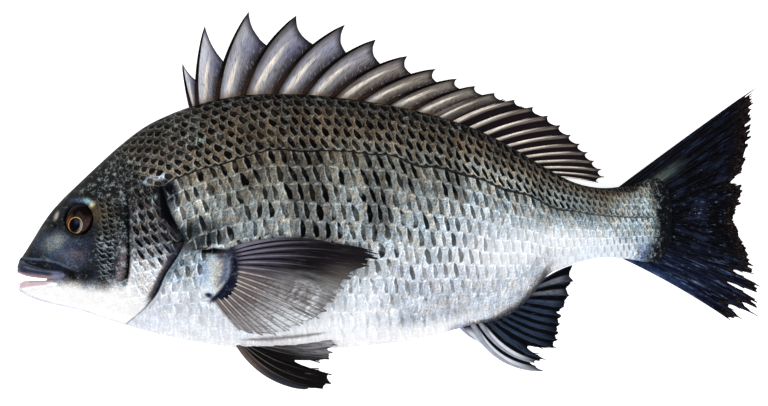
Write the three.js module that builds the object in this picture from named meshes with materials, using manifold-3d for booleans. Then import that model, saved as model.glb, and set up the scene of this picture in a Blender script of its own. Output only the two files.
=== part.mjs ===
// A whole sea bream, raw and in its scales, lying on its right flank with its left flank up.
// Millimetres. X runs from the snout (-) to the tail (+), Y from the belly (-) to the back (+)
// and Z up from the table. The origin is the middle of the bounding box, on the table.
// The body, its lips and all its fins are one solid, because they are grown together;
// each eyeball is a solid of its own, seated in its socket.

import * as THREE from "three";
import Module from "manifold-3d";
import { mergeVertices } from "three/addons/utils/BufferGeometryUtils.js";

const wasm = await Module();
wasm.setup();

// ---------------------------------------------------------------- driving dimensions

// The body's middle plane above the table: less than half the thickness, so the flank lies flat.
const REST_HEIGHT = 20.8;
const TAIL_DROOP = 12; // how far the tail's end sinks below that plane under its own weight
const DROOP_FROM = 20; // X where the droop begins
const TAIL_END = 159.5; // X of the tail's furthest tip

// Outline of the body without its fins, seen from the side: [X, Y].
const BACK = [
  [-159.4, -30.1], [-158.7, -26.4], [-157.4, -24.5], [-155.7, -21.9], [-153.1, -17.8],
  [-149.6, -12], [-145.3, -5.8], [-140.2, 0], [-133.3, 6.7], [-125.6, 14], [-115.2, 23.4],
  [-104.9, 31.2], [-93.7, 36.8], [-80.8, 41.3], [-65.4, 44.6], [-48.2, 45.7], [-29.2, 44.9],
  [-12, 42.8], [5.2, 39.9], [22.4, 35.7], [39.6, 29.7], [56.8, 20.6], [68.8, 13.3],
  [80.4, 7.5], [93.3, 5.2], [104.1, 6.7], [112.7, 9.2], [118.7, 7.7], [122.1, 0],
];
const BELLY = [
  [-159.4, -34.4], [-158.7, -38.5], [-157.4, -39.8], [-155.7, -40.9], [-153.1, -42.1],
  [-145.3, -44.5], [-133.3, -47.1], [-125.6, -49.5], [-115.2, -52.9], [-104.9, -55.9],
  [-93.7, -58.6], [-80.8, -61.2], [-65.4, -63.4], [-48.2, -64.1], [-29.2, -63.9],
  [-12, -62.8], [5.2, -60.8], [22.4, -57.4], [36, -53.7], [48, -51.2], [56.8, -46],
  [63, -39.6], [68.8, -32.3], [74.8, -29.2], [80.4, -27.3], [93.3, -24.7], [104.1, -25.6],
  [112.7, -26.7], [118.7, -24.5], [122.1, -17.2],
];
// Half of the body's thickness: [X, half thickness].
const HALF_THICKNESS = [
  [-159.4, 1.5], [-158.7, 3.6], [-157.4, 5], [-155.7, 6.2], [-153.1, 7.4], [-149.6, 8.8],
  [-145.3, 10.4], [-140.2, 12.2], [-133.3, 14.3], [-125.6, 16.4], [-115.2, 18.8],
  [-104.9, 20.6], [-93.7, 21.8], [-80.8, 22.6], [-65.4, 23], [-48.2, 23.1], [-29.2, 22.6],
  [-12, 21.3], [5.2, 19.2], [22.4, 16.5], [39.6, 13.6], [56.8, 10.7], [68.8, 8.9],
  [80.4, 7.4], [93.3, 6.3], [104.1, 5.1], [112.7, 3.3], [118.7, 1.8], [122.1, 1],
];
// Where the section is widest, as a share of the height from belly to back: [X, share].
const WIDEST = [[-159.4, 0.5], [-140, 0.4], [-115, 0.42], [-80, 0.5], [-30, 0.55], [60, 0.53], [122, 0.5]];

// A section's sides: z = half thickness * (1 - t^power)^root, t running 0 to 1 from the widest line.
const BACK_SIDE = { power: 1.9, root: 0.6 }; // narrows to a ridge
const BELLY_SIDE = { power: 2.2, root: 0.54 }; // rounder

// The gill cover's free edge and the cheek plate's edge: [Y, X].
const GILL_EDGE = [
  [-53.8, -113.5], [-47.7, -106], [-40.9, -99.9], [-31.8, -95.5], [-24.5, -90.6],
  [-20.2, -88.4], [-16.3, -87.7], [-12.5, -90.3], [-6.9, -93.7], [0.4, -95.9], [9.5, -97.8],
];
const CHEEK_EDGE = [[-43, -117.5], [-38, -114.2], [-33, -112.6], [-17, -111.9], [6, -112.6]];
// How far each stands out along its length: [Y, share].
const GILL_STRENGTH = [[-56, 0], [-50, 0.35], [-42, 1], [-16, 1], [3, 0.9], [9, 0]];
const CHEEK_STRENGTH = [[-45, 0], [-39, 0.4], [-34, 1], [-2, 1], [6, 0]];
const GILL_COVER = { lift: 1.3, fade: 12, slitDepth: 0.9, slitAt: 1.1, slitWidth: 1.5 };
const CHEEK_PLATE = { lift: 0.6, fade: 6, slitDepth: 0.5, slitAt: 0.9, slitWidth: 1.2 };

const EYE = { x: -132.7, y: -8.2, rx: 7, ry: 7.7, depth: 3.8, proud: 1.9, gap: 0.3 };
const ORBIT_RIM = { lift: 0.7, width: 1.6 };

const FIN_ROOT_PAD = { x: -70.5, y: -31.5, rx: 6.5, ry: 12.5, lift: 1.4 }; // flesh at the pectoral fin's root

const MOUTH_GAP = [
  [-163, -31.6], [-156.5, -32.1], [-151.4, -33], [-147, -34], [-151.4, -34.6], [-156.5, -34.9], [-163, -35.8],
];
// Each lip is a roll round the jaw: centre line Y at the front and at the corner, and radii.
const UPPER_LIP = {
  front: -157.2, corner: -138.6, yFront: -29, yCorner: -32, tall: 2.9, thick: 2, endShare: 0.7,
};
const LOWER_LIP = {
  front: -156.4, corner: -141.5, yFront: -37, yCorner: -35.8, tall: 2, thick: 1.8, endShare: 0.5,
};

const ROOT_DEPTH = 3; // how deep a fin starts inside the flesh
const RAY_TIP = 0.5; // a ray's thickness at its tip
const WEB_ROOT_EXTRA = 0.3; // a web is this much thicker at its root
const WEB_END = 0.93; // share of the way to the next ray where the web's edge meets that ray
const SLIVER = 0.04; // corners nearer than this to the faces round them are dropped
const WEB_THICKNESS = 0.8;

// ---------------------------------------------------------------- curves

// A smooth curve through [at, value] pairs, level beyond its ends.
function curve(points) {
  const at = points.map((p) => p[0]);
  const value = points.map((p) => p[1]);
  const last = at.length - 1;
  const step = at.slice(1).map((x, i) => x - at[i]);
  const slope = step.map((h, i) => (value[i + 1] - value[i]) / h);
  const tangent = at.map((_, i) => {
    if (i === 0) return slope[0];
    if (i === last) return slope[last - 1];
    return (step[i] * slope[i - 1] + step[i - 1] * slope[i]) / (step[i - 1] + step[i]);
  });
  return (x) => {
    if (x <= at[0]) return value[0];
    if (x >= at[last]) return value[last];
    let i = 0;
    while (x > at[i + 1]) i += 1;
    const t = (x - at[i]) / step[i];
    const rise = value[i + 1] - value[i];
    const [a, b] = [tangent[i] * step[i], tangent[i + 1] * step[i]];
    return value[i] + t * (a + t * (3 * rise - 2 * a - b + t * (a + b - 2 * rise)));
  };
}

const mix = (a, b, t) => a + (b - a) * t;
const bell = (x) => Math.exp(-x * x);

const back = curve(BACK);
const belly = curve(BELLY);
const halfThickness = curve(HALF_THICKNESS);
const widest = curve(WIDEST);
const gillEdge = curve(GILL_EDGE);
const cheekEdge = curve(CHEEK_EDGE);
const gillStrength = curve(GILL_STRENGTH);
const cheekStrength = curve(CHEEK_STRENGTH);

// Height of the middle plane above the table.
function middle(x) {
  const share = Math.max(0, (x - DROOP_FROM) / (TAIL_END - DROOP_FROM));
  return REST_HEIGHT - TAIL_DROOP * share * share;
}

// ---------------------------------------------------------------- body surface

const widestY = (x) => mix(belly(x), back(x), widest(x));

function side(t, above) {
  const form = above ? BACK_SIDE : BELLY_SIDE;
  return Math.pow(Math.max(0, 1 - Math.pow(t, form.power)), form.root);
}

// Half thickness of the plain body at (x, y), without relief.
function flank(x, y) {
  const centre = widestY(x);
  const above = y >= centre;
  const t = above ? (y - centre) / (back(x) - centre) : (centre - y) / (centre - belly(x));
  return t >= 1 ? 0 : halfThickness(x) * side(t, above);
}

// A plate that rises towards its free edge and drops into a slit behind it.
function plate(distance, form) {
  const raised = distance < 0 ? form.lift * Math.exp(distance / form.fade) : 0;
  return raised - form.slitDepth * bell((distance - form.slitAt) / form.slitWidth);
}

function relief(x, y) {
  const gill = gillStrength(y) * plate(x - gillEdge(y), GILL_COVER);
  const cheek = cheekStrength(y) * plate(x - cheekEdge(y), CHEEK_PLATE);
  const orbit = Math.hypot((x - EYE.x) / EYE.rx, (y - EYE.y) / EYE.ry);
  const rim = ORBIT_RIM.lift * bell(((orbit - 1.12) * EYE.rx) / ORBIT_RIM.width);
  const pad = Math.hypot((x - FIN_ROOT_PAD.x) / FIN_ROOT_PAD.rx, (y - FIN_ROOT_PAD.y) / FIN_ROOT_PAD.ry);
  return gill + cheek + rim + FIN_ROOT_PAD.lift * bell(pad * pad);
}

// Section lines lean so that one follows the gill cover's edge and one the cheek plate's.
const LEAN = { start: -150, cheek: -112.2, gill: -95, end: -60 };
function lean(x, y) {
  const cheek = cheekEdge(y) - LEAN.cheek;
  const gill = gillEdge(y) - LEAN.gill;
  if (x <= LEAN.start || x >= LEAN.end) return 0;
  if (x <= LEAN.cheek) return (cheek * (x - LEAN.start)) / (LEAN.cheek - LEAN.start);
  if (x <= LEAN.gill) return mix(cheek, gill, (x - LEAN.cheek) / (LEAN.gill - LEAN.cheek));
  return (gill * (LEAN.end - x)) / (LEAN.end - LEAN.gill);
}

// The sections, from the snout back: [X where a stretch of them ends, sections in it].
const SECTIONS = [
  [-158.7, 1], [-157.4, 1], [-155.3, 1], [LEAN.cheek - 0.2, 13], [LEAN.cheek + 0.9, 1],
  [LEAN.gill - 0.2, 5], [LEAN.gill + 1.1, 1], [LEAN.gill + 3.2, 1], [36, 17], [80.4, 8], [122.1, 8],
];
const AROUND = 17; // steps from belly to back on each flank

function sectionLines() {
  const lines = [BACK[0][0]];
  for (const [end, count] of SECTIONS) {
    const start = lines[lines.length - 1];
    for (let i = 1; i <= count; i += 1) lines.push(mix(start, end, i / count));
  }
  return lines;
}

function bodySolid() {
  const rings = sectionLines().map((line) => {
    const ring = [];
    for (let k = 0; k < 2 * AROUND; k += 1) {
      const right = k > AROUND;
      const step = right ? 2 * AROUND - k : k;
      const angle = Math.PI * (step / AROUND - 0.5);
      const s = Math.sin(angle);
      const heightAt = (at) => widestY(at) + s * (s > 0 ? back(at) - widestY(at) : widestY(at) - belly(at));
      let x = line;
      for (let pass = 0; pass < 3; pass += 1) x = line + lean(line, heightAt(x));
      const y = heightAt(x);
      const t = Math.abs(s);
      const out = halfThickness(x) * side(t, s > 0) + relief(x, y) * (1 - Math.pow(t, 4));
      ring.push([x, y, middle(x) + (right ? -out : out)]);
    }
    return ring;
  });
  return loft(rings);
}

// ---------------------------------------------------------------- solids

function toSolid(vertices, triangles) {
  const geometry = new THREE.BufferGeometry();
  geometry.setAttribute("position", new THREE.BufferAttribute(new Float32Array(vertices.flat()), 3));
  geometry.setIndex(triangles.flat());
  return solidOf(geometry);
}

// A closed three.js geometry as a solid with its faces pointing out.
function solidOf(geometry) {
  const bare = geometry.clone();
  bare.deleteAttribute("normal");
  bare.deleteAttribute("uv");
  const merged = mergeVertices(bare, 1e-4);
  const vertProperties = new Float32Array(merged.attributes.position.array);
  const triVerts = new Uint32Array(merged.index.array);
  const solid = new wasm.Manifold(new wasm.Mesh({ numProp: 3, vertProperties, triVerts }));
  if (solid.volume() > 0) return solid;
  for (let i = 0; i < triVerts.length; i += 3) triVerts.subarray(i, i + 2).reverse();
  return new wasm.Manifold(new wasm.Mesh({ numProp: 3, vertProperties, triVerts }));
}

function geometryOf(solid) {
  const mesh = solid.getMesh();
  const geometry = new THREE.BufferGeometry();
  geometry.setAttribute("position", new THREE.BufferAttribute(mesh.vertProperties, 3));
  geometry.setIndex(new THREE.BufferAttribute(mesh.triVerts, 1));
  geometry.computeVertexNormals();
  return geometry;
}

// Skins a row of closed rings, all with the same number of points, and closes both ends.
function loft(rings) {
  const around = rings[0].length;
  const vertices = rings.flat();
  const triangles = [];
  for (let i = 0; i + 1 < rings.length; i += 1) {
    for (let k = 0; k < around; k += 1) {
      const next = (k + 1) % around;
      const [a, b] = [i * around + k, i * around + next];
      triangles.push([a, b, b + around], [a, b + around, a + around]);
    }
  }
  const cap = (ring, first, turned) => {
    const centre = [0, 1, 2].map((axis) => ring.reduce((sum, p) => sum + p[axis], 0) / around);
    vertices.push(centre);
    for (let k = 0; k < around; k += 1) {
      const next = (k + 1) % around;
      const face = [vertices.length - 1, first + next, first + k];
      triangles.push(turned ? face.reverse() : face);
    }
  };
  cap(rings[0], 0, false);
  cap(rings[rings.length - 1], (rings.length - 1) * around, true);
  return toSolid(vertices, triangles);
}

// ---------------------------------------------------------------- lips, mouth and eyes

const LIP_STEPS = 16;
const LIP_SIDES = 7;
const LIP_SUNK = 0.4; // its middle line lies this far inside the skin
const LIP_CURL = 0.96; // 1 would bend its ends straight back along the head

function lipSolid(lip) {
  const rings = [];
  for (let i = 0; i <= LIP_STEPS; i += 1) {
    const s = mix(-1, 1, i / LIP_STEPS);
    const reach = Math.abs(s);
    const y = mix(lip.yFront, lip.yCorner, Math.pow(reach, 1.5));
    const x = mix(lip.front, lip.corner, 1 - Math.sqrt(1 - reach * reach * LIP_CURL));
    const z = middle(x) + Math.max(0, flank(x, y) - LIP_SUNK) * Math.sign(s);
    const size = mix(1, lip.endShare, reach * reach);
    const outward = new THREE.Vector2(reach - 1, s).normalize();
    const ring = [];
    for (let k = 0; k < LIP_SIDES; k += 1) {
      const turn = (2 * Math.PI * k) / LIP_SIDES;
      const across = lip.thick * size * Math.cos(turn);
      ring.push([x + outward.x * across, y + lip.tall * size * Math.sin(turn), z + outward.y * across]);
    }
    rings.push(ring);
  }
  return loft(rings);
}

function mouthCutter() {
  const reach = 1.5 * REST_HEIGHT;
  const outline = new THREE.Shape(MOUTH_GAP.map(([x, y]) => new THREE.Vector2(x, y)));
  const geometry = new THREE.ExtrudeGeometry(outline, { depth: 2 * reach, bevelEnabled: false });
  geometry.translate(0, 0, REST_HEIGHT - reach);
  return solidOf(geometry);
}

// The head's outward direction beside the eye, for the left flank.
function eyeFacing() {
  const step = 3;
  const slopeX = (flank(EYE.x + step, EYE.y) - flank(EYE.x - step, EYE.y)) / (2 * step);
  const slopeY = (flank(EYE.x, EYE.y + step) - flank(EYE.x, EYE.y - step)) / (2 * step);
  return new THREE.Vector3(-slopeX, -slopeY, 1).normalize();
}

const EYE_COLUMNS = 18;
const EYE_ROWS = 12;

// An eyeball, flatter than a ball and standing a little proud of the head. flankSign is 1 on
// the left, and grow is 0 for the eyeball and its gap for the socket.
function eyeGeometry(flankSign, grow) {
  const geometry = new THREE.SphereGeometry(1, EYE_COLUMNS, EYE_ROWS);
  geometry.rotateX(Math.PI / 2);
  geometry.scale(EYE.rx + grow, EYE.ry + grow, EYE.depth + grow);
  const facing = eyeFacing();
  geometry.applyQuaternion(new THREE.Quaternion().setFromUnitVectors(new THREE.Vector3(0, 0, 1), facing));
  const centre = new THREE.Vector3(EYE.x, EYE.y, flank(EYE.x, EYE.y));
  centre.addScaledVector(facing, EYE.proud - EYE.depth);
  geometry.translate(centre.x, centre.y, centre.z);
  if (flankSign < 0) {
    geometry.scale(1, 1, -1);
    const index = geometry.index.array;
    for (let i = 0; i < index.length; i += 3) index.subarray(i, i + 2).reverse();
  }
  geometry.translate(0, 0, middle(EYE.x));
  return geometry;
}

// ---------------------------------------------------------------- fins

// A fin is a fan of rays with a web between them. Every list is [ray number, value]:
//   rootX and rootY (or a function of X), length, angle (degrees from +X towards +Y),
//   bow (share of the length that a ray bulges to its left, seen from its root),
//   thick (a ray's thickness at its root) and notch (how far up the next ray the web
//   reaches, as a share of that ray's length). slits lists the webs that are torn, as
//   [ray number, share of the length left whole], and sag is how far a whole web's edge
//   curves in between its rays.
const DORSAL = {
  count: 22,
  rootX: [
    [0, -84.8], [1, -82], [2, -73.5], [3, -62.4], [4, -48.6], [5, -36], [7, -12], [10, 20.5],
    [12, 35.5], [15, 51.5], [18, 63.5], [21, 75],
  ],
  rootY: (x) => back(x),
  length: [
    [0, 19], [1, 34.2], [2, 40.2], [3, 41.4], [4, 42.3], [5, 38.8], [6, 36.6], [7, 35.4],
    [9, 28.8], [10, 27.2], [12, 28.3], [15, 27.5], [18, 25.2], [20, 22], [21, 15.6],
  ],
  angle: [
    [0, 101], [1, 84.5], [2, 70.2], [3, 56.2], [4, 44.6], [5, 37.5], [6, 28.6], [7, 22.5],
    [10, 21], [12, 17.5], [15, 9], [18, 0.5], [21, -8.5],
  ],
  bow: [[0, 0.02], [2, 0.06], [4, 0.08], [8, 0.05], [12, 0.04], [21, 0.02]],
  notch: [[1, 0.3], [2, 0.4], [3, 0.57], [5, 0.65], [8, 0.74], [11, 0.88], [21, 0.95]],
  thick: [[0, 1.6], [2, 2.2], [8, 2], [11, 1.3], [21, 1.1]],
  slits: [],
  sag: 0.07,
};
const ANAL = {
  count: 13,
  rootX: [[0, 31.5], [1, 36.4], [2, 39.6], [12, 66.5]],
  rootY: (x) => belly(x) + 0.3,
  length: [
    [0, 9], [1, 36.6], [2, 30], [3, 30], [4, 28], [5, 25.8], [7, 20.6], [9, 17.2], [11, 16.2],
    [12, 14.5],
  ],
  angle: [
    [0, -40], [1, -33.7], [2, -35.5], [3, -33], [4, -25], [5, -22], [7, -14], [9, -7], [11, 12],
    [12, 27],
  ],
  bow: [[0, -0.05], [1, -0.155], [2, -0.12], [3, -0.08], [6, -0.05], [12, 0.04]],
  notch: [[1, 0.8], [2, 0.9], [3, 0.95], [12, 0.98]],
  thick: [[0, 1.6], [1, 2.4], [2, 1.9], [3, 1.2], [12, 1]],
  slits: [[3, 0.68], [8, 0.9], [10, 0.88], [11, 0.9]],
  sag: 0.02,
};
const CAUDAL = {
  count: 25,
  rootX: [
    [0, 101.5], [2, 107.5], [4, 112.5], [8, 117.5], [12, 119], [16, 117.5], [20, 112.5], [22, 108],
    [24, 103],
  ],
  rootY: [
    [0, 6], [2, 6.6], [4, 5], [8, -1.5], [12, -9], [16, -16.5], [20, -22.5], [22, -24.6], [24, -25.4],
  ],
  length: [
    [0, 69.2], [2, 61], [4, 53.2], [6, 45.2], [8, 37.4], [10, 33.6], [12, 30], [14, 35.2],
    [16, 40.6], [18, 46], [19, 48.6], [20, 50], [21, 53.4], [22, 57.2], [23, 54], [24, 51.5],
  ],
  angle: [
    [0, 36.7], [2, 36], [4, 34.5], [8, 21], [12, 0], [14, -10.6], [16, -16], [18, -20.8],
    [20, -23.9], [22, -26.3], [23, -29.2], [24, -30.6],
  ],
  bow: [[0, 0.003], [3, 0.005], [8, 0], [12, 0], [18, 0.01], [22, 0.02], [24, 0.02]],
  notch: [[1, 0.99], [24, 0.99]],
  thick: [[0, 2.2], [4, 1.6], [12, 1.4], [20, 1.6], [24, 2]],
  slits: [[8, 0.88], [17, 0.78], [19, 0.72], [21, 0.86], [22, 0.78]],
  sag: 0.004,
};
const PECTORAL = {
  count: 16,
  rootX: [[0, -67], [4, -65.6], [8, -66.6], [11, -69.3], [13, -71.6], [15, -74.6]],
  rootY: [[0, -21], [3, -25.3], [8, -33.5], [11, -37.6], [13, -40.3], [15, -43]],
  length: [
    [0, 46], [1, 60], [2, 61.6], [3, 58], [4, 51], [5, 46.5], [6, 44.5], [8, 41], [9, 39],
    [11, 32.8], [13, 25.2], [15, 17],
  ],
  angle: [
    [0, 2], [2, -1], [4, -6], [6, -15.5], [8, -25], [9, -23.5], [10, -28], [11, -34.3], [13, -45],
    [15, -49.6],
  ],
  bow: [[0, 0.08], [3, 0.05], [8, 0.01], [15, -0.02]],
  notch: [[1, 0.96], [15, 0.96]],
  thick: [[0, 1.7], [4, 1.4], [15, 1.2]],
  slits: [[8, 0.72]],
  sag: 0.01,
};
const PELVIC = {
  count: 8,
  rootX: [[0, -65], [7, -59.5]],
  rootY: [[0, -61], [7, -60.2]],
  length: [[0, 35.5], [1, 41.5], [2, 43], [3, 41], [4, 37.5], [6, 38.6], [7, 37.5]],
  angle: [[0, -35], [1, -29], [2, -25], [3, -20.5], [4, -12], [5, -8], [6, -3], [7, 4.5]],
  bow: [[0, -0.12], [2, -0.09], [4, -0.04], [7, -0.02]],
  notch: [[1, 0.95], [7, 0.98]],
  thick: [[0, 2.4], [1, 1.7], [7, 1.2]],
  slits: [[3, 0.6], [5, 0.93], [6, 0.95]],
  sag: 0.02,
};

// The rays of a fin, each a quadratic curve from root to tip.
function raysOf(fin) {
  const rootX = curve(fin.rootX);
  const rootY = Array.isArray(fin.rootY) ? curve(fin.rootY) : null;
  const [length, angle, bow, thick] = [fin.length, fin.angle, fin.bow, fin.thick].map(curve);
  const notch = curve(fin.notch);
  const torn = new Map(fin.slits);
  return Array.from({ length: fin.count }, (_, k) => {
    const turn = THREE.MathUtils.degToRad(angle(k));
    const x = rootX(k);
    const root = new THREE.Vector2(x, rootY ? rootY(k) : fin.rootY(x));
    const way = new THREE.Vector2(Math.cos(turn), Math.sin(turn));
    const tip = root.clone().addScaledVector(way, length(k));
    const side = new THREE.Vector2(-way.y, way.x);
    const knee = root.clone().lerp(tip, 0.5).addScaledVector(side, 2 * bow(k) * length(k));
    const line = new THREE.QuadraticBezierCurve(root, knee, tip);
    return { line, root, start: line.getTangent(0), thick: thick(k), notch: notch(k), torn: torn.get(k) };
  });
}

// A ray's point at share v of its length. v below 0 is inside the flesh.
function onRay(ray, v) {
  if (v < 0) return ray.root.clone().addScaledVector(ray.start, v * ROOT_DEPTH);
  return ray.line.getPoint(v);
}

// A fin's columns, from its first ray to its last: points from root to edge, with thickness.
function columnsOf(fin, rows, webSteps) {
  const rays = raysOf(fin);
  const columns = [];
  rays.forEach((ray, k) => {
    const next = rays[k + 1];
    const shares = [0];
    for (let i = 1; next && i <= webSteps; i += 1) shares.push(mix(0, WEB_END, i / webSteps));
    for (const w of shares) {
      const column = [{ v: -1 }, ...Array.from({ length: rows + 1 }, (_, j) => ({ v: j / rows }))];
      columns.push(
        column.map(({ v }) => {
          const out = Math.max(0, v);
          if (w === 0) return { point: onRay(ray, v), v, thick: mix(ray.thick, RAY_TIP, out) };
          const slack = 4 * w * (1 - w);
          const reach = ray.torn ? mix(1, ray.torn, slack) : 1 - fin.sag * slack;
          const a = onRay(ray, v < 0 ? v : v * reach);
          const b = onRay(next, v < 0 ? v : v * reach * next.notch);
          return { point: a.lerp(b, w), v, thick: WEB_THICKNESS + mix(WEB_ROOT_EXTRA, 0, out) };
        }),
      );
    }
  });
  return columns;
}

// A thin solid from columns of points; height(x, y, v) gives the middle of its thickness.
function finSolid(fin, rows, webSteps, height) {
  const columns = columnsOf(fin, rows, webSteps);
  const deep = columns[0].length;
  const vertices = [];
  for (const face of [1, -1]) {
    for (const column of columns) {
      for (const { point, v, thick } of column) {
        vertices.push([point.x, point.y, height(point.x, point.y, v) + (face * thick) / 2]);
      }
    }
  }
  const count = columns.length * deep;
  const at = (c, r) => c * deep + r;
  const triangles = [];
  const wall = (a, b) => triangles.push([b, a, a + count], [b, a + count, b + count]);
  for (let c = 0; c + 1 < columns.length; c += 1) {
    for (let r = 0; r + 1 < deep; r += 1) {
      const [p, q, s, t] = [at(c, r), at(c + 1, r), at(c + 1, r + 1), at(c, r + 1)];
      triangles.push([p, q, s], [p, s, t]);
      triangles.push([s + count, q + count, p + count], [t + count, s + count, p + count]);
    }
    wall(at(c, 0), at(c + 1, 0));
    wall(at(c + 1, deep - 1), at(c, deep - 1));
  }
  for (let r = 0; r + 1 < deep; r += 1) {
    wall(at(0, r + 1), at(0, r));
    wall(at(columns.length - 1, r), at(columns.length - 1, r + 1));
  }
  return toSolid(vertices, triangles);
}

// A pectoral fin lies along its flank; the right one is pressed flat between flank and table.
const PECTORAL_LIFT = { inside: -2, root: 0.2, tip: 2.6 };
const PRESSED_HEIGHT = 0.27; // height of its middle where it lies on the table; what reaches below is cut off
function alongFlank(flankSign) {
  return (x, y, v) => {
    const lift = v < 0 ? PECTORAL_LIFT.inside : mix(PECTORAL_LIFT.root, PECTORAL_LIFT.tip, v);
    const out = flank(x, y) + lift;
    return Math.max(PRESSED_HEIGHT, middle(x) + flankSign * out);
  };
}

// The pelvic fins start either side of the belly's middle line and spread apart.
const PELVIC_SPREAD = { root: 3.2, tip: 7.5 };
function beside(flankSign) {
  return (x, y, v) => middle(x) + flankSign * mix(PELVIC_SPREAD.root, PELVIC_SPREAD.tip, Math.max(0, v));
}

function finSolids() {
  return [
    finSolid(DORSAL, 5, 2, middle),
    finSolid(ANAL, 4, 2, middle),
    finSolid(CAUDAL, 4, 1, middle),
    finSolid(PECTORAL, 4, 1, alongFlank(1)),
    finSolid(PECTORAL, 4, 1, alongFlank(-1)),
    finSolid(PELVIC, 4, 1, beside(1)),
    finSolid(PELVIC, 4, 1, beside(-1)),
  ];
}

// ---------------------------------------------------------------- the whole fish

// Everything below the table, wide enough for the whole fish.
function tableCutter() {
  const depth = 60;
  const block = new THREE.BoxGeometry(500, 300, depth);
  block.translate(0, 0, -depth / 2);
  return solidOf(block);
}

function fishSolid() {
  let fish = bodySolid();
  for (const lip of [UPPER_LIP, LOWER_LIP]) fish = fish.add(lipSolid(lip));
  fish = fish.subtract(mouthCutter());
  for (const flankSign of [1, -1]) fish = fish.subtract(solidOf(eyeGeometry(flankSign, EYE.gap)));
  for (const fin of finSolids()) fish = fish.add(fin);
  return fish.subtract(tableCutter()).simplify(SLIVER);
}

const skin = new THREE.MeshStandardMaterial({ color: 0x8f9796, roughness: 0.35, metalness: 0.1 });
const eyeball = new THREE.MeshStandardMaterial({ color: 0x1b1512, roughness: 0.08, metalness: 0 });

function named(name, geometry, material) {
  const mesh = new THREE.Mesh(geometry, material);
  mesh.name = name;
  return mesh;
}

const bream = new THREE.Group();
bream.name = "sea_bream";
bream.add(named("fish", geometryOf(fishSolid()), skin));
bream.add(named("eye_left", eyeGeometry(1, 0), eyeball));
bream.add(named("eye_right", eyeGeometry(-1, 0), eyeball));

export default bream;
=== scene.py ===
"""The looks of a whole raw sea bream, lying on its right flank with its left flank up.

Sizes are in millimetres, with X from the snout (-) to the tail (+), Y from the belly (-) to
the back (+) and Z up from the table. Meshes are written in metres. Paint is named in sRGB, 0 to 255.
"""

import bpy
import numpy as np
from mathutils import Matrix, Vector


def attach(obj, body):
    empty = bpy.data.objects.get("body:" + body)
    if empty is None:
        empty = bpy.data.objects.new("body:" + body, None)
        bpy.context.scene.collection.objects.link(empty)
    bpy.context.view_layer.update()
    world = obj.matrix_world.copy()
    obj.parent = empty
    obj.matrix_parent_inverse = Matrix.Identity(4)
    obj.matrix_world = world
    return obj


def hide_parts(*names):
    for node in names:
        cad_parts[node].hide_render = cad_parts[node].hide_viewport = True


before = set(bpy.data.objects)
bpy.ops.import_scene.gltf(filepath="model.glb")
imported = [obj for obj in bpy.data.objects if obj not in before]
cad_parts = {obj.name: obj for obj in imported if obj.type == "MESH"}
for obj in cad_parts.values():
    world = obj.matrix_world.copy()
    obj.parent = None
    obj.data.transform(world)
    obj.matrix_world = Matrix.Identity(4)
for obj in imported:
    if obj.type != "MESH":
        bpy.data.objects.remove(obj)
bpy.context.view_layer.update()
MM = 0.001

# ---------------------------------------------------------------- arithmetic


class Curve:
    """A smooth line through (at, value) pairs, level beyond its ends."""

    def __init__(self, points):
        self.at, self.value = np.array(points, float).T
        self.step = np.diff(self.at)
        slope = np.diff(self.value) / self.step
        before, after = self.step[:-1], self.step[1:]
        middle_tangents = (after * slope[:-1] + before * slope[1:]) / (before + after)
        self.tangent = np.concatenate([slope[:1], middle_tangents, slope[-1:]])

    def __call__(self, x):
        x = np.clip(x, self.at[0], self.at[-1])
        i = np.clip(np.searchsorted(self.at, x, side="right") - 1, 0, len(self.step) - 1)
        t = (x - self.at[i]) / self.step[i]
        rise = self.value[i + 1] - self.value[i]
        a, b = self.tangent[i] * self.step[i], self.tangent[i + 1] * self.step[i]
        return self.value[i] + t * (a + t * (3 * rise - 2 * a - b + t * (a + b - 2 * rise)))


class Value:
    """A number in a material. Arithmetic on it adds Math nodes to the material's tree."""

    def __init__(self, tree, socket):
        self.tree = tree
        self.socket = socket

    def __add__(self, other):
        return compute("ADD", self, other)

    def __sub__(self, other):
        return compute("SUBTRACT", self, other)

    def __rsub__(self, other):
        return compute("SUBTRACT", other, self)

    def __mul__(self, other):
        return compute("MULTIPLY", self, other)

    def __truediv__(self, other):
        return compute("DIVIDE", self, other)

    __radd__ = __add__
    __rmul__ = __mul__


ON_ARRAYS = {
    "FLOOR": np.floor,
    "FRACT": lambda x: x - np.floor(x),
    "ABSOLUTE": np.abs,
    "GREATER_THAN": lambda a, b: (a > b) * 1.0,
}


def compute(operation, *items):
    """A Math operation: by a node if any item is a Value, and otherwise on arrays."""
    values = [item for item in items if isinstance(item, Value)]
    if not values:
        return ON_ARRAYS[operation](*items)
    tree = values[0].tree
    node = tree.nodes.new("ShaderNodeMath")
    node.operation = operation
    for socket, item in zip(node.inputs, items):
        fill(tree, socket, item)
    return Value(tree, node.outputs[0])


def fill(tree, socket, item):
    """Sets a socket to a number or colour, or links a Value or an output to it."""
    if isinstance(item, Value):
        tree.links.new(item.socket, socket)
    elif isinstance(item, bpy.types.NodeSocket):
        tree.links.new(item, socket)
    else:
        socket.default_value = item


def smooth(low, high, x):
    """0 at low, 1 at high and level beyond them, for a Value or an array."""
    if not isinstance(x, Value):
        t = np.clip((x - low) / (high - low), 0, 1)
        return t * t * (3 - 2 * t)
    node = x.tree.nodes.new("ShaderNodeMapRange")
    node.interpolation_type = "SMOOTHSTEP"
    for name, item in (("Value", x), ("From Min", low), ("From Max", high)):
        fill(x.tree, node.inputs[name], item)
    return Value(x.tree, node.outputs["Result"])


def bell(x):
    """1 at 0, falling off to nothing by about 2."""
    if isinstance(x, Value):
        return compute("EXPONENT", -1 * x * x)
    return np.exp(-x * x)


def mix(a, b, t):
    return a + (b - a) * t


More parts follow.
